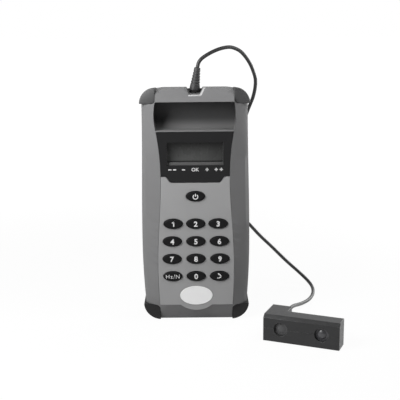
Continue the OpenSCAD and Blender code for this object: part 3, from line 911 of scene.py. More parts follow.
class Finishes(Enum):
    """Every finish of the tester."""

    FRONT = Finish(
        "front shell", grey(0.172, 0.002), Gloss(0.52, 0.16, 0.35), Wear(grey(0.25), 0.5, 0.45),
        Grain(0.32, 0.035, 0.10), seam=PARTING,
    )
    REAR = Finish(
        "rear shell", grey(0.165, 0.002), Gloss(0.56, 0.16, 0.35), Wear(grey(0.24), 0.5, 0.7),
        Grain(0.32, 0.04, 0.12), seam=PARTING,
    )
    DOOR = Finish(
        "battery door", grey(0.16, 0.002), Gloss(0.56, 0.16, 0.35), Wear(grey(0.24), 0.6, 0.4),
        Grain(0.32, 0.04, 0.12),
    )
    # Painted highlight: a pale strip standing for the light that the notch's chamfer catches.
    EDGE = Finish(
        "pale edge", grey(0.46), Gloss(0.35, 0.1, 0.5), Wear(grey(0.6), 0.2, 0.1),
        Grain(0.3, 0.004, 0.06),
    )
    # Upper bumpers: the edge colour is darker than the rubber, painted shade along their rounded edges.
    BUMPER = Finish(
        "bumper rubber", grey(0.042, 0.001), Gloss(0.48, 0.1, 0.6), Wear(grey(0.006), 1.0, 1.0),
        Grain(0.22, 0.006, 0.2),
    )
    # Lower bumpers: a darker copy of the bumper rubber, painted shade for their place low down, away from
    # the light.
    FOOT = Finish(
        "lower bumper rubber", grey(0.018, 0.0004), Gloss(0.5, 0.1, 0.22), Wear(grey(0.06), 0.5, 0.4),
        Grain(0.22, 0.006, 0.2),
    )
    # Bay liner: lighter towards its floor, painted light for the light that reaches the lower bay while the
    # brow shades the top.
    BAY = Finish(
        "bay liner", grey(0.056, 0.001), Gloss(0.5, 0.15, 0.3), Wear(grey(0.10), 0.3, 0.4),
        Grain(0.3, 0.02, 0.2), low_painted_light=LowPaintedLight(grey(0.145), 157.6, 166.0),
    )
    WINDOW = Finish(
        "display window", grey(0.010, 0.0005), Gloss(0.3, 0.12, 0.2), Wear(grey(0.025), 0.2, 0.25),
        Grain(0.5, 0.004, 0.3),
    )
    FRAME = Finish(
        "screen frame", grey(0.07), Gloss(0.5, 0.15, 0.3), Wear(grey(0.15), 0.4, 0.25),
        Grain(0.3, 0.015, 0.15),
    )
    PANEL = Finish(
        "keypad panel", grey(0.315, 0.002), Gloss(0.6, 0.12, 0.3), Wear(grey(0.30), 0.3, 0.25),
        Grain(0.2, 0.012, 0.08),
    )
    BADGE = Finish(
        "badge plate", grey(0.88), Gloss(0.35, 0.12, 0.4), Wear(grey(0.78), 0.2, 0.25),
        Grain(0.4, 0.006, 0.05),
    )
    MAT = Finish("keypad mat", grey(0.10), Gloss(0.7), Wear(grey(0.14)))
    KEY = Finish(
        "key rubber", grey(0.007, 0.0004), Gloss(0.5, 0.15, 0.13), Wear(grey(0.02), 0.4, 0.3),
        Grain(0.18, 0.012, 0.3),
    )
    PRINT = Finish(
        "white print", grey(0.72), Gloss(0.5, 0.1, 0.3), Wear(grey(0.60), 0.2, 0.05),
        Grain(0.15, 0.005, 0.12),
    )
    BOARD = Finish(
        "circuit board", (0.02, 0.13, 0.06), Gloss(0.4), Wear((0.05, 0.2, 0.1)),
        Grain(1.2, 0.02, 0.5),
    )
    CHIP = Finish("chip package", grey(0.02), Gloss(0.55), Wear(grey(0.05)))
    STEEL = Finish(
        "plated steel", (0.55, 0.55, 0.54), Gloss(0.3, 0.2, 0.5), Wear(grey(0.7), 0.4, 0.2),
        Grain(0.12, 0.01, 0.15), metal=1.0,
    )
    CELL = Finish(
        "battery can", grey(0.12, 0.004), Gloss(0.38, 0.15, 0.5), Wear(grey(0.4), 0.5, 0.5),
        Grain(0.5, 0.01, 0.2), metal=0.3, seam=Seam(2, 71.5, 0.35),
    )
    SNAP = Finish("battery snap", grey(0.02), Gloss(0.55), Wear(grey(0.05)))
    SOCKET = Finish("socket", grey(0.02), Gloss(0.45), Wear(grey(0.05)))
    BOOT = Finish(
        "boot rubber", grey(0.035, 0.001), Gloss(0.5, 0.2, 0.4), Wear(grey(0.08), 0.6, 0.3),
        Grain(0.3, 0.05, 0.35),
    )
    CABLE = Finish(
        "cable jacket", grey(0.020, 0.0005), Gloss(0.42, 0.06, 0.5), Wear(grey(0.05), 0.0, 0.1),
        Grain(1.2, 0.001, 0.08),
    )
    PROBE = Finish(
        "probe shell", grey(0.026, 0.001), Gloss(0.34, 0.3, 0.35), Wear(grey(0.15), 1.0, 0.7),
        Grain(0.3, 0.03, 0.5), seam=Seam(2, 10.5, 0.16),
    )
    DISC = Finish(
        "eye disc", grey(0.080, 0.002), Gloss(0.4, 0.12, 0.45), Wear(grey(0.10), 0.3, 0.2),
        Grain(0.3, 0.01, 0.2),
    )
    LENS = Finish(
        "eye lens", grey(0.07, 0.005), Gloss(0.3, 0.1, 0.5), Wear(grey(0.1), 0.2, 0.2),
        Grain(0.6, 0.004, 0.25),
    )
    DIODE = Finish("diode", (0.04, 0.04, 0.07), Gloss(0.25), Wear(grey(0.1)))
    FERRULE = Finish(
        "ferrule", grey(0.66), Gloss(0.32, 0.2, 0.5), Wear(grey(0.8), 0.4, 0.2),
        Grain(0.2, 0.01, 0.12), metal=0.3,
    )
    SCREEN = ScreenFinish()

    def on(self, obj: Piece) -> Piece:
        """Dresses a piece or a node.

        Args:
            obj: What gets the finish.

        Returns:
            The same object.
        """
        material = bpy.data.materials.get(self.value.name) or self.value.make()
        if not obj.material_slots:
            obj.data.materials.append(material)
        for slot in obj.material_slots:
            slot.material = material
        return obj


def carry(obj: Piece, body: str, finish: Finishes) -> Piece:
    """Sets a finished piece on its body.

    Args:
        obj: The piece.
        body: Name of the body that it rides on.
        finish: Its finish.

    Returns:
        The same piece.
    """
    finish.on(obj)
    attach(obj, body)
    LOG.info("%s rides on %s", obj.name, body)
    return obj


# The picture


@dataclass(frozen=True)
class Lamp:
    """A soft lamp: its place, where it points, the side of its square and its watts."""

    name: str
    at: Point
    aim: Point
    side: float
    power: float

    def hang(self) -> None:
        """Hangs the lamp."""
        clear_selection()
        bpy.ops.object.light_add(type="AREA", location=metres(self.at))
        lamp = bpy.context.view_layer.objects.active
        lamp.name = self.name
        lamp.data.size = self.side * MM
        lamp.data.energy = self.power
        way = Vector(self.aim) - Vector(self.at)
        lamp.rotation_euler = way.to_track_quat("-Z", "Y").to_euler()


@dataclass
class Studio:
    """Camera, lamps, floor and background."""

    eye: Point = (3.6, -719.0, 262.9)
    pitch: float = 13.0
    roll: float = 0.5
    lens: float = 81.0
    sensor: float = 36.0
    clip: tuple[float, float] = (50.0, 60000.0)
    lamps: tuple[Lamp, ...] = (
        Lamp("key_lamp", (-270, -240, 330), (0, -15, 110), 240, 2.14),
        Lamp("fill_lamp", (200, -240, 650), (10, -20, 170), 300, 0.6),
        Lamp("side_lamp", (230, -90, 300), (40, -15, 150), 120, 0.32),
        Lamp("back_lamp", (420, 330, 220), (0, 14, 100), 260, 1.6),
    )
    floor_size: float = 9000.0
    floor_drop: float = 0.1
    floor_tone: float = 0.48
    fade: tuple[float, float] = (150.0, 750.0)
    white_near: float = 0.90
    white_light: float = 1.05
    soft_light: float = 0.06
    glow_span: tuple[float, float] = (-0.35, 0.25)
    glow_light: tuple[float, float] = (0.10, 0.8)

    def camera(self) -> None:
        """Stands the camera where the picture was taken from."""
        clear_selection()
        bpy.ops.object.camera_add()
        cam = bpy.context.view_layer.objects.active
        cam.name = "picture_camera"
        pitch, roll = math.radians(self.pitch), math.radians(self.roll)
        ahead = Vector((0, math.cos(pitch), -math.sin(pitch)))
        above = Vector((0, math.sin(pitch), math.cos(pitch)))
        across = Vector((1, 0, 0))
        right = across * math.cos(roll) - above * math.sin(roll)
        up = across * math.sin(roll) + above * math.cos(roll)
        turn = Matrix((right, up, -ahead)).transposed()
        cam.matrix_world = Matrix.Translation(metres(self.eye)) @ turn.to_4x4()
        cam.data.lens = self.lens
        cam.data.sensor_width = self.sensor
        cam.data.clip_start, cam.data.clip_end = metres(self.clip)
        bpy.context.scene.camera = cam

    def floor(self) -> None:
        """Lays the pale floor, which keeps a soft shadow and fades to white."""
        clear_selection()
        bpy.ops.mesh.primitive_plane_add(
            size=self.floor_size * MM, location=(0, 0, -self.floor_drop * MM)
        )
        ground = named("floor")
        material, net, _ = new_material("floor")
        net.tree.nodes.clear()
        _, _, seen = net.rays()
        away = net.add("ShaderNodeVectorMath", {0: net.place()}, operation="LENGTH").outputs["Value"]
        share = net.math("MULTIPLY", seen, net.ramp(away, *metres(self.fade), self.white_near, 1.0))
        cloth = net.add("ShaderNodeBsdfDiffuse", {"Color": (*grey(self.floor_tone), 1)}).outputs[0]
        light = {"Color": (1, 1, 1, 1), "Strength": self.white_light}
        white = net.add("ShaderNodeEmission", light).outputs[0]
        blend = net.add("ShaderNodeMixShader", {0: share, 1: cloth, 2: white}).outputs[0]
        net.add("ShaderNodeOutputMaterial", {0: blend})
        ground.data.materials.append(material)

    def background(self) -> None:
        """Makes the world white to look at and a plain soft light otherwise."""
        world = bpy.data.worlds.new("studio")
        world.use_nodes = True
        net = Net(world.node_tree)
        net.tree.nodes.clear()
        camera, clear, seen = net.rays()
        way = net.add("ShaderNodeTexCoord").outputs["Generated"]
        axes = net.add("ShaderNodeSeparateXYZ", {0: way}).outputs
        glow = net.ramp(axes[1], *self.glow_span, *self.glow_light)
        strength = net.math("MAXIMUM", camera, net.math("MULTIPLY", clear, glow))
        soft, white = [
            net.add("ShaderNodeBackground", {"Color": (1, 1, 1, 1), "Strength": light}).outputs[0]
            for light in (self.soft_light, strength)
        ]
        blend = net.add("ShaderNodeMixShader", {0: seen, 1: soft, 2: white}).outputs[0]
        net.add("ShaderNodeOutputWorld", {0: blend})
        bpy.context.scene.world = world

    def build(self) -> None:
        """Sets up the whole studio."""
        bpy.context.scene.view_settings.view_transform = "Standard"
        self.camera()
        for lamp in self.lamps:
            lamp.hang()
        self.floor()
        self.background()


# The cable


@dataclass
class Cable:
    """The cable from the boot, over the right shoulder and round to the probe head."""

    diameter: float = 3.0
    boot_tip: Point = (2.4633, 2.7, 204.5277)
    gland_tip: Point = (74.0302, -40.0999, 16.0)
    probe_yaw: float = PROBE_YAW
    straight: float = 6.0
    steps: int = 8
    middle: tuple[Point, ...] = (
        (3.5, 3, 208.3), (5.6, 3.2, 211.2), (9.5, 3.6, 214), (15, 4.5, 216.9), (21.5, 6, 219.2),
        (28, 8.5, 220), (33, 11, 218.7), (37.5, 13.5, 216), (41.5, 16, 211.6), (45.2, 19, 206),
        (48, 22, 199.7), (50, 25, 193), (50, 27, 186), (48.5, 29, 178), (46, 31, 171),
        (43.5, 33, 164), (39.5, 36.5, 150), (34.5, 41.5, 128), (31, 47, 105), (31.2, 51, 88),
        (35, 53, 76.8), (40.5, 54.8, 69), (48, 57.5, 60.5), (57, 61, 49.8), (68.5, 65.5, 37.6),
        (80, 69, 25.2), (87, 71, 18.2), (93, 71.5, 12.6), (98.5, 69, 7.8), (102.6, 63, 4.4),
        (104.3, 54, 2.6), (103.6, 44, 1.8), (101, 33, 1.7), (96.5, 21, 2.4), (90, 6, 5),
        (84.5, -9.5, 9.2), (80, -23, 13.2),
    )

    def route(self) -> list[Vector]:
        """Lines up the points that the cable passes through.

        Returns:
            The points, in millimetres.
        """
        yaw = math.radians(self.probe_yaw)
        end = Vector(self.gland_tip)
        return [
            Vector(self.boot_tip),
            *[Vector(p) for p in self.middle],
            end + self.straight * Vector((math.sin(yaw), math.cos(yaw), 0)),
            end,
        ]

    def line(self) -> list[Vector]:
        """Runs a smooth line through the route.

        Returns:
            The points of the centreline, in metres.
        """
        route = self.route()
        ends = [2 * route[0] - route[1], *route, 2 * route[-1] - route[-2]]
        points = []
        for i in range(1, len(ends) - 2):
            a, b, c, d = ends[i - 1 : i + 3]
            for k in range(self.steps):
                t = k / self.steps
                points.append(0.5 * (
                    2 * b + (c - a) * t + (2 * a - 5 * b + 4 * c - d) * t**2
                    + (3 * b - a - 3 * c + d) * t**3
                ))
        return [MM * p for p in [*points, route[-1]]]

    def build(self, pieces_on_it: Iterable[Piece]) -> Piece:
        """Args:
            pieces_on_it: The plug and the boot. Not used.

        Returns:
            The cable.
        """
        points = self.line()
        curve = bpy.data.curves.new("cable", "CURVE")
        curve.dimensions = "3D"
        spline = curve.splines.new("POLY")
        spline.points.add(len(points) - 1)
        for spot, p in zip(spline.points, points):
            spot.co = (*p, 1)
        curve.bevel_depth = self.diameter * MM / 2
        curve.bevel_resolution = 5
        curve.use_fill_caps = True
        obj = bpy.data.objects.new("cable", curve)
        bpy.context.scene.collection.objects.link(obj)
        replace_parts(obj, "probe_cable")
        carry(obj, Body.CASE.value, Finishes.CABLE)
        return obj


# The case


@dataclass
class Bumpers:
    """The four rubber corners."""

    top_at: tuple[float, float] = (31.0, 178.2)
    low_at: tuple[float, float] = (29.5, 13.6)
    top_r: float = 12.6
    low_r: float = 13.6
    front: float = -19.0
    back: float = 11.0
    inner_r: float = 3.2
    back_taper: float = 2.6
    tip_r: float = 0.5
    pillow: float = 3.0
    seat_edge: float = 0.9
    lean: float = 0.16
    sides: int = 112

    def one(self, corner: Corner) -> Piece:
        """Models one bumper as a crowned quarter disc.

        Args:
            corner: The corner it covers.

        Returns:
            The bumper.
        """
        sx, sz = corner.value
        x, z = self.top_at if sz > 0 else self.low_at
        r = self.top_r if sz > 0 else self.low_r
        x *= sx
        obj = cylinder("bumper_" + corner.name.lower(), r, self.front, self.back, (x, z), self.sides)
        lean = Vector((sx * self.lean, -1, sz * self.lean)).normalized()
        bisect(obj, (x, 0, z), (sx, 0, 0), Clear.INNER)
        bisect(obj, (x, 0, z), (0, 0, sz), Clear.INNER)
        bisect(obj, (x, self.front, z), tuple(lean), Clear.OUTER)
        heel = Vector(metres((x, 0, z)))
        if sz > 0:
            pick_faces(obj, lambda f: f.normal.y > 0.99)
            share = 1 - self.back_taper / r
            bpy.ops.transform.resize(value=(share, 1, share), center_override=heel)
            bpy.ops.object.mode_set(mode="OBJECT")
        self.crown(obj, heel, [Vector(metres(way)) for way in ((sx * r, 0, 0), (0, 0, sz * r))], lean)
        return done(obj, 50)

    def crown(self, obj: Piece, heel: Vector, arms: Sequence[Vector], lean: Vector) -> None:
        """Rounds the corner, the tips and the rims of a quarter disc.

        Args:
            obj: The quarter disc.
            heel: Its corner, at depth 0.
            arms: The ways from its corner to its two tips.
            lean: The way its front faces.
        """
        near, snug, long = 3 * MM, 0.02 * MM, 20 * MM
        tips = [heel + arm for arm in arms]
        planes = (
            (Vector(metres((0, self.back, 0))), Vector((0, 1, 0))),
            (heel + Vector(metres((0, self.front, 0))), lean),
        )

        def apart(p: Vector, at: Vector) -> float:
            """Gives how far a point lies from an axis that runs from front to back."""
            return math.hypot(p.x - at.x, p.z - at.z)

        def seated(p: Vector) -> bool:
            """Says whether a point lies on one of the two flat sides."""
            return min(abs(p.x - heel.x), abs(p.z - heel.z)) < snug

        def upright(a: Vector, b: Vector, at: Vector) -> bool:
            """Says whether an edge runs from front to back at a place on a flat side."""
            return abs(a.y - b.y) > long and max(apart(a, at), apart(b, at)) < near and seated(a)

        def on_rim(a: Vector, b: Vector, arc: bool) -> bool:
            """Tells the edges of the front and back rim apart.

            Args:
                a: One end of an edge.
                b: Its other end.
                arc: Whether edges on the arc are wanted, or those on a flat side.

            Returns:
                Whether the edge is one of them.
            """
            level = any(max(abs((p - at).dot(way)) for p in (a, b)) < snug for at, way in planes)
            flat = all(seated(p) or apart(p, heel) < self.inner_r * MM for p in (a, b))
            return level and flat != arc

        round_edges(obj, self.inner_r, 8, lambda a, b: upright(a, b, heel))
        round_edges(obj, self.tip_r, 3, lambda a, b: any(upright(a, b, tip) for tip in tips))
        round_edges(obj, self.pillow, 7, lambda a, b: on_rim(a, b, True), clamp_overlap=True)
        round_edges(obj, self.seat_edge, 3, lambda a, b: on_rim(a, b, False), clamp_overlap=True)

    def build(self) -> None:
        """Models, dresses and sets all four."""
        for corner in Corner:
            obj = self.one(corner)
            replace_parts(obj, "bumper_" + corner.name.lower())
            # The lower bumpers take the darker copy of the rubber: painted shade.
            finish = Finishes.BUMPER if corner.value[1] > 0 else Finishes.FOOT
            carry(obj, Body.CASE.value, finish)


@dataclass
class Keypad:
    """The keys, what is printed on them, and the badge below."""

    half_w: float = 7.65
    half_h: float = 4.1
    proud: float = 1.3
    dome: float = 1.25
    dome_profile: float = 0.55
    flange_at: float = 1.65
    flange_t: float = 1.1
    flange: float = 1.0
    stem_r: float = 2.0
    stem_end: float = 4.9
    print_t: float = 0.06
    digit_h: float = 4.3
    digit_bold: float = 0.2
    stroke: float = 0.48
    hook_stroke: float = 0.5
    stroke_past: float = 0.8
    stroke_round: float = 0.6
    sign_h: float = 3.4
    sign_apart: float = 1.18
    ring_out: float = 2.25
    ring_in: float = 1.5
    ring_gap: float = 42.0
    ring_drop: float = 0.25
    tick_half: float = 0.42
    tick_low: float = -0.1
    tick_high: float = 2.35
    tick_corner: float = 0.3
    badge_half: tuple[float, float] = (13.2, 7.9)
    badge_z: float = 22.3
    badge_proud: float = 0.3
    badge_deep: float = 0.5
    badge_edge: float = 0.22
    rim_w: float = 0.7
    rim_t: float = 0.1
    row_low: float = 38.8
    pitch: float = 14.6
    power_z: float = 105.1
    columns: tuple[float, float, float, float] = (18.9, 19.3, 18.9, 18.0)
    labels: tuple[str, ...] = (*"123456789", "function", "0", "enter")
    hook: tuple[Stroke, ...] = ((-0.9, 2.2, 1.6, 0.1), (1.6, 0.1, -0.5, -1.7), (-0.5, -1.7, -1.5, -1.4))
    one: tuple[Stroke, ...] = ((0.4, 1.75, 0.4, -1.75), (0.4, 1.75, -0.7, 1.05))

    def spot(self, index: int) -> tuple[float, float]:
        """Gives the middle of a key as x and height, counting from the top left."""
        row, column = 3 - index // 3, index % 3 - 1
        return column * self.columns[row], self.row_low + row * self.pitch

    def cap(self) -> Piece:
        """Models one key at the middle of the frame's face.

        Returns:
            An oval pillow with a flange and a stem behind it.
        """
        top, foot = FACE_Y - self.proud, FACE_Y + self.flange_at
        obj = oval("key", (self.half_w, self.half_h), top, foot)
        round_edges(obj, self.dome, 6, at_depth(top), profile=self.dome_profile)
        wide, high = self.half_w + self.flange, self.half_h + self.flange
        rest = self.stem_end - self.flange_at - self.flange_t
        pick_faces(obj, lambda f: f.normal.y > 0.9)
        bpy.ops.mesh.extrude_region_move()
        bpy.ops.transform.resize(value=(wide / self.half_w, 1, high / self.half_h))
        bpy.ops.mesh.extrude_region_move(TRANSFORM_OT_translate={"value": (0, self.flange_t * MM, 0)})
        bpy.ops.mesh.extrude_region_move()
        bpy.ops.transform.resize(value=(self.stem_r / wide, 1, self.stem_r / high))
        bpy.ops.mesh.extrude_region_move(TRANSFORM_OT_translate={"value": (0, rest * MM, 0)})
        return done(obj, 45)

    def power_sign(self, at: Point) -> Piece:
        """Models an open ring with a bar.

        Args:
            at: Middle of the sign's back.

        Returns:
            The sign.
        """
        x, y, z = at
        front, low = y - self.print_t, z - self.ring_drop
        ring = cylinder("power_ring", self.ring_out, front, y, (x, low))
        pick_faces(ring, lambda f: abs(f.normal.y) > 0.9)
        bpy.ops.mesh.inset(thickness=(self.ring_out - self.ring_in) * MM)
        bpy.ops.mesh.delete(type="FACE")

        def in_gap(face: bpy.types.MeshPolygon) -> bool:
            """Says whether a face lies in the open top of the ring."""
            dx, dz = face.center.x - x * MM, face.center.z - low * MM
            return abs(math.degrees(math.atan2(dx, dz))) < self.ring_gap

        pick_faces(ring, in_gap)
        bpy.ops.mesh.delete(type="FACE")
        tick = bar(
            "power_bar",
            (x - self.tick_half, front, z + self.tick_low),
            (x + self.tick_half, y, z + self.tick_high),
            self.tick_corner,
        )
        return join([ring, tick], "power_sign")

    def strokes(self, name: str, at: Point, ends: Sequence[Stroke], half: float) -> Piece:
        """Models a sign out of straight strokes with rounded ends.

        Args:
            name: Name of the sign.
            at: Middle of the sign's back.
            ends: Each stroke as x and height of its start and of its end.
            half: Half of a stroke's width.

        Returns:
            The sign.
        """
        x, y, z = at
        bars = []
        for n, (ax, az, bx, bz) in enumerate(ends):
            reach = math.hypot(bx - ax, bz - az) / 2 + half * self.stroke_past
            corner = half * self.stroke_round
            one = bar(f"{name}_{n}", (-reach, -self.print_t, -half), (reach, 0, half), corner)
            one.rotation_euler = (0, -math.atan2(bz - az, bx - ax), 0)
            one.location = metres((x + (ax + bx) / 2, y, z + (az + bz) / 2))
            bars.append(settle(one))
        return join(bars, name)

    def sign(self, label: str, at: Point) -> Piece:
        """Models what is printed on a key.

        Args:
            label: The key's label.
            at: Middle of the key's top.

        Returns:
            The print.
        """
        if label == "power":
            return self.power_sign(at)
        if label == "enter":
            return self.strokes("enter_sign", at, self.hook, self.hook_stroke)
        if label == "1":
            return self.strokes("digit_1", at, self.one, self.stroke)
        if label == "function":
            return lettering("function_sign", "Hz/N", self.sign_h, at, 0.0, self.print_t, self.sign_apart)
        return lettering("digit_" + label, label, self.digit_h, at, self.digit_bold, self.print_t)

    def keys(self) -> None:
        """Copies the key to every place and prints its sign on it."""
        cap = self.cap()
        spots = [(label, "key_" + label, self.spot(i)) for i, label in enumerate(self.labels)]
        spots.append(("power", "power_key", (0.0, self.power_z)))
        for label, node, (x, z) in spots:
            key = copy_of(cap, node + "_cap", (x, 0, z))
            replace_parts(key, node)
            carry(key, node + "_cap", Finishes.KEY)
            sign = self.sign(label, (x, FACE_Y - self.proud, z))
            carry(sign, node + "_cap", Finishes.PRINT)
        bpy.data.objects.remove(cap)

    def plate(self) -> None:
        """Models the bare oval plate with a fine raised rim."""
        front, back = FACE_Y - self.badge_proud, FACE_Y + self.badge_deep
        obj = oval("badge_oval", self.badge_half, front, back, self.badge_z, 96)
        round_edges(obj, self.badge_edge, 3, at_depth(front))
        pick_faces(obj, lambda f: f.normal.y < -0.99)
        bpy.ops.mesh.inset(thickness=self.rim_w * MM)
        bpy.ops.mesh.inset(thickness=self.rim_t * MM, depth=-self.rim_t * MM)
        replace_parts(done(obj, 35), "badge_plate")
        carry(obj, Body.CASE.value, Finishes.BADGE)

    def build(self) -> None:
        """Makes the keys and the plate."""
        self.keys()
        self.plate()


@dataclass
class Display:
    """Print under the screen, in the order that a reading falls."""

    legend_z: float = 126.6
    height: float = 2.9
    stroke: float = 0.85
    print_t: float = 0.05
    corner: float = 0.15
    minus_x: tuple[float, ...] = (-20.0, -16.2, -9.2)
    minus_w: float = 2.5
    minus_drop: float = 0.1
    plus_x: tuple[float, ...] = (9.4, 16.6, 20.6)
    plus_w: float = 2.6
    ok_x: float = 0.1
    ok_bold: float = 0.05

    def mark(self, name: str, x: float, z: float, wide: float, high: float) -> Piece:
        """Models one stroke of print.

        Args:
            name: Name of the stroke.
            x: Its middle across.
            z: Its middle up.
            wide: Its width.
            high: Its height.

        Returns:
            The stroke.
        """
        low = (x - wide / 2, FACE_Y - self.print_t, z - high / 2)
        return bar(name, low, (x + wide / 2, FACE_Y, z + high / 2), self.corner, 2)

    def build(self) -> None:
        """Prints three minus marks, OK and three plus marks along the window's foot."""
        z, strokes = self.legend_z, []
        for n, x in enumerate(self.minus_x):
            strokes.append(self.mark(f"minus_{n}", x, z - self.minus_drop, self.minus_w, self.stroke))
        for n, x in enumerate(self.plus_x):
            strokes.append(self.mark(f"plus_{n}", x, z, self.plus_w, self.stroke))
            strokes.append(self.mark(f"plus_up_{n}", x, z, self.stroke, self.plus_w))
        at = (self.ok_x, FACE_Y, z)
        strokes.append(lettering("ok", "OK", self.height, at, self.ok_bold, self.print_t))
        carry(join(strokes, "reading_legend"), Body.CASE.value, Finishes.PRINT)


@dataclass(frozen=True)
class Lip:
    """A strip on an edge, which carries a painted highlight: its middle, its way along and outwards, its
    length and width.
    """

    middle: Point
    along: Point
    out: Point
    long: float
    wide: float


@dataclass
class Fittings:
    """Boot on the plug, a strip with a painted highlight on the edge of its notch, screws, and the mark on
    the battery door.
    """

    boot_base: Point = (0.0, 2.7, 187.0)
    boot_len: float = 17.7
    boot_low_r: float = 4.3
    boot_top_r: float = 2.45
    boot_lean: float = 8.0
    boot_rim: float = 0.4
    boot_under: float = 1.0
    boot_sides: int = 56
    bands: int = 5
    band_low: float = 4.6
    band_pitch: float = 2.3
    band_w: float = 1.0
    band_side: float = 0.12
    band_deep: float = 0.32
    screw_x: float = 34.0
    screw_z: tuple[float, float] = (30.0, 150.3)
    screw_seat: float = 2.0
    screw_end: float = -16.0
    screw_edge: float = 0.5
    head_r: float = 2.8
    head_t: float = 2.0
    shank_r: float = 1.45
    cross: tuple[float, float] = (1.7, 0.36)
    cross_deep: float = 1.3
    arrow_at: Point = (0.0, 14.05, 66.0)
    arrow_r: float = 3.2
    arrow_t: float = 0.3
    arrow_corner: float = 0.4
    lip_t: float = 0.2
    lip_edge: float = 0.08
    lips: tuple[Lip, ...] = (
        Lip((0.0, -17.6, 184.55), (1.0, 0.0, 0.0), (0.0, -0.477, 0.879), 9.8, 1.8),
        Lip((6.31, -15.14, 187.45), (0.398, 0.595, 0.699), (-0.374, -0.59, 0.715), 7.8, 1.9),
    )

    def notch_lip(self) -> None:
        """Lays a pale strip on the foot and the right side of the plug's notch, a painted highlight on its
        chamfer.
        """
        bars = []
        for n, lip in enumerate(self.lips):
            half = (lip.long / 2, lip.wide / 2, self.lip_t / 2)
            strip = block(f"lip_{n}", tuple(-c for c in half), half)
            round_edges(strip, self.lip_edge, 2, lambda a, b: True)
            along, out = Vector(lip.along).normalized(), Vector(lip.out).normalized()
            turn = Matrix((along, out.cross(along), out)).transposed().to_4x4()
            strip.matrix_world = Matrix.Translation(metres(lip.middle)) @ turn
            bars.append(settle(strip))
        carry(done(join(bars, "notch_lip"), 30), Body.CASE.value, Finishes.EDGE)

    def boot(self) -> Piece:
        """Models the tapered boot with shallow bands.

        Returns:
            The boot, which replaces its node.
        """
        clear_selection()
        grow = (self.boot_low_r - self.boot_top_r) / self.boot_len
        bpy.ops.mesh.primitive_cone_add(
            vertices=self.boot_sides,
            radius1=(self.boot_low_r + grow * self.boot_under) * MM,
            radius2=self.boot_top_r * MM,
            depth=(self.boot_len + self.boot_under) * MM,
            location=(0, 0, (self.boot_len - self.boot_under) / 2 * MM),
        )
        obj = settle(named("boot"))
        for n in range(self.bands):
            low = self.band_low + n * self.band_pitch
            for z in (low, low + self.band_w):
                bisect(obj, (0, 0, z), (0, 0, 1))

        def in_band(face: bpy.types.MeshPolygon) -> bool:
            """Says whether a face lies in one of the bands."""
            turn, z = divmod(face.center.z / MM - self.band_low, self.band_pitch)
            return abs(face.normal.z) < 0.5 and 0 <= turn < self.bands and z < self.band_w

        pick_faces(obj, in_band)
        bpy.ops.mesh.inset(
            thickness=self.band_side * MM, depth=-self.band_deep * MM, use_boundary=False
        )
        tip = (self.boot_len - 1e-3) * MM
        round_edges(obj, self.boot_rim, 3, lambda a, b: min(a.z, b.z) > tip)
        obj.rotation_euler = (0, math.radians(self.boot_lean), 0)
        obj.location = metres(self.boot_base)
        settle(obj)
        bisect(obj, self.boot_base, (0, 0, 1), Clear.INNER)
        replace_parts(done(obj, 32), "plug_boot")
        return carry(obj, Body.CASE.value, Finishes.BOOT)

    def screw(self) -> Piece:
        """Models one case screw with a cross in its head.

        Returns:
            The screw, at x 0 and height 0.
        """
        seat, top = self.screw_seat, self.screw_seat + self.head_t
        head = cylinder("screw", self.head_r, seat, top, sides=40)
        round_edges(head, self.screw_edge, 4, at_depth(top))
        for x, z in (self.cross, self.cross[::-1]):
            tool = block("recess", (-x, top - self.cross_deep, -z), (x, top + 1, z))
            modify(head, "BOOLEAN", operation="DIFFERENCE", object=tool, solver="EXACT")
            bpy.data.objects.remove(tool)
        shank = cylinder("shank", self.shank_r, self.screw_end, seat, sides=24)
        round_edges(shank, self.screw_edge, 2, at_depth(self.screw_end))
        return done(join([head, shank], "screw"), 35)

    def screws(self) -> None:
        """Sets the four case screws from behind."""
        one = self.screw()
        spots = [(x, z) for z in self.screw_z for x in (-self.screw_x, self.screw_x)]
        copies = [copy_of(one, f"case_screw_{n}", (x, 0, z)) for n, (x, z) in enumerate(spots)]
        bpy.data.objects.remove(one)
        fitted = join(copies, "case_screw_set")
        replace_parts(fitted, "case_screws")
        carry(fitted, Body.CASE.value, Finishes.STEEL)

    def door_mark(self) -> None:
        """Raises a small arrow on the battery door, which points the way it opens."""
        clear_selection()
        bpy.ops.mesh.primitive_cylinder_add(
            vertices=3,
            radius=self.arrow_r * MM,
            depth=self.arrow_t * MM,
            location=metres(self.arrow_at),
            rotation=(math.radians(-90), 0, 0),
        )
        obj = settle(named("door_arrow"))
        round_edges(obj, self.arrow_corner, 3, runs_back)
        carry(done(obj, 30), Body.DOOR.value, Finishes.DOOR)

    def build(self) -> Piece:
        """Makes all the fittings.

        Returns:
            The boot.
        """
        self.screws()
        self.door_mark()
        self.notch_lip()
        return self.boot()


# The probe head


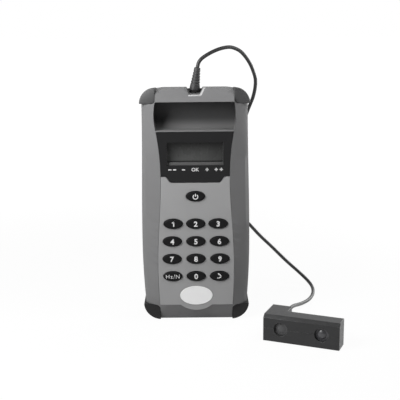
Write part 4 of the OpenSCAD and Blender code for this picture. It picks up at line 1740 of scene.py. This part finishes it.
@dataclass
class ProbeHead:
    """The head with two eyes."""

    at: tuple[float, float] = (51.5, -64.3)
    yaw: float = PROBE_YAW
    length: float = 60.0
    height: float = 21.0
    eye_pitch: float = 32.0
    eye_r: float = 5.2
    set_back: float = 1.0
    back: float = 5.4
    wall: float = 1.8
    rim_back: float = 1.0
    rim_w: float = 0.7
    step_w: float = 0.12
    step_t: float = 0.25
    dome_step: float = 0.95
    low_dome: tuple[float, ...] = (0.5, 0.35, 0.2, 0.08)
    high_dome: tuple[float, ...] = (0.75, 0.6, 0.4, 0.18)
    flange: float = 0.9
    flange_t: float = 1.2
    flange_edge: float = 0.2
    shell_edge: float = 0.35

    def eye(self, side: Eye) -> Piece:
        """Models one eye: a disc with a rim and a low or a high dome.

        Args:
            side: Which eye.

        Returns:
            The eye, which replaces its node.
        """
        name = "eye_" + side.name.lower()
        disc = cylinder(name, self.eye_r, self.set_back + self.rim_back, self.back)
        pick_faces(disc, lambda f: f.normal.y < -0.99)
        bpy.ops.mesh.inset(thickness=self.rim_w * MM)
        bpy.ops.mesh.inset(thickness=self.step_w * MM, depth=-self.step_t * MM)
        for lift in self.low_dome if side is Eye.LEFT else self.high_dome:
            bpy.ops.mesh.inset(thickness=self.dome_step * MM, depth=lift * MM)
        flange = cylinder("flange", self.eye_r + self.flange, self.wall, self.wall + self.flange_t)
        round_edges(flange, self.flange_edge, 2, lambda a, b: not runs_back(a, b))
        obj = join([disc, flange], name)
        yaw = math.radians(self.yaw)
        along = self.length / 2 + side.value * self.eye_pitch / 2
        obj.rotation_euler = (0, 0, -yaw)
        obj.location = (
            (self.at[0] + along * math.cos(yaw)) * MM,
            (self.at[1] - along * math.sin(yaw)) * MM,
            self.height / 2 * MM,
        )
        settle(obj)
        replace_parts(done(obj, 35), "probe_lens_" + side.name.lower())
        finish = Finishes.DISC if side is Eye.LEFT else Finishes.LENS
        return carry(obj, Body.CASE.value, finish)

    def build(self, nodes: dict[str, Piece]) -> None:
        """Rounds the two shells and sets the eyes.

        Args:
            nodes: The frame's nodes.
        """
        for node in ("probe_body", "probe_cover"):
            shell = softened(nodes, node, self.shell_edge)
            carry(shell, Body.CASE.value, Finishes.PROBE)
        for side in Eye:
            self.eye(side)


# The whole tester


NODE_FINISHES: dict[str, Finishes] = {
    "display_window": Finishes.WINDOW,
    "lcd_frame": Finishes.FRAME,
    "lcd_glass": Finishes.SCREEN,
    "keypad_mat": Finishes.MAT,
    "main_board": Finishes.BOARD,
    "board_chips": Finishes.CHIP,
    "board_screws": Finishes.STEEL,
    "battery": Finishes.CELL,
    "battery_snap": Finishes.SNAP,
    "probe_socket": Finishes.SOCKET,
    "probe_plug": Finishes.SOCKET,
    "probe_board": Finishes.BOARD,
    "probe_diodes": Finishes.DIODE,
    "probe_screws": Finishes.STEEL,
    "probe_gland": Finishes.FERRULE,
}

SKINS: dict[str, tuple[str, Finishes, Body]] = {
    "front_shell": ("front_grey", Finishes.FRONT, Body.CASE),
    "rear_shell": ("rear_grey", Finishes.REAR, Body.CASE),
    "bay_liner": ("bay_black", Finishes.BAY, Body.CASE),
    "keypad_panel": ("panel_grey", Finishes.PANEL, Body.CASE),
    "battery_door": ("rear_grey", Finishes.DOOR, Body.DOOR),
}


def main() -> None:
    """Loads the frame, builds every piece in order and sets up the picture."""
    logging.basicConfig(level=logging.INFO, format="%(name)s: %(message)s")
    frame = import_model()
    nodes = frame["nodes"]
    Studio().build()
    boot = Fittings().build()
    Cable().build([boot, nodes["probe_plug"]])
    for node, (slot, finish, body) in SKINS.items():
        carry(skin_of(nodes, node), body.value, finish)
    for node, finish in NODE_FINISHES.items():
        finish.on(nodes[node])
    Bumpers().build()
    Keypad().build()
    Display().build()
    ProbeHead().build(nodes)
    clear_selection()


if __name__ == "__main__":
    main()
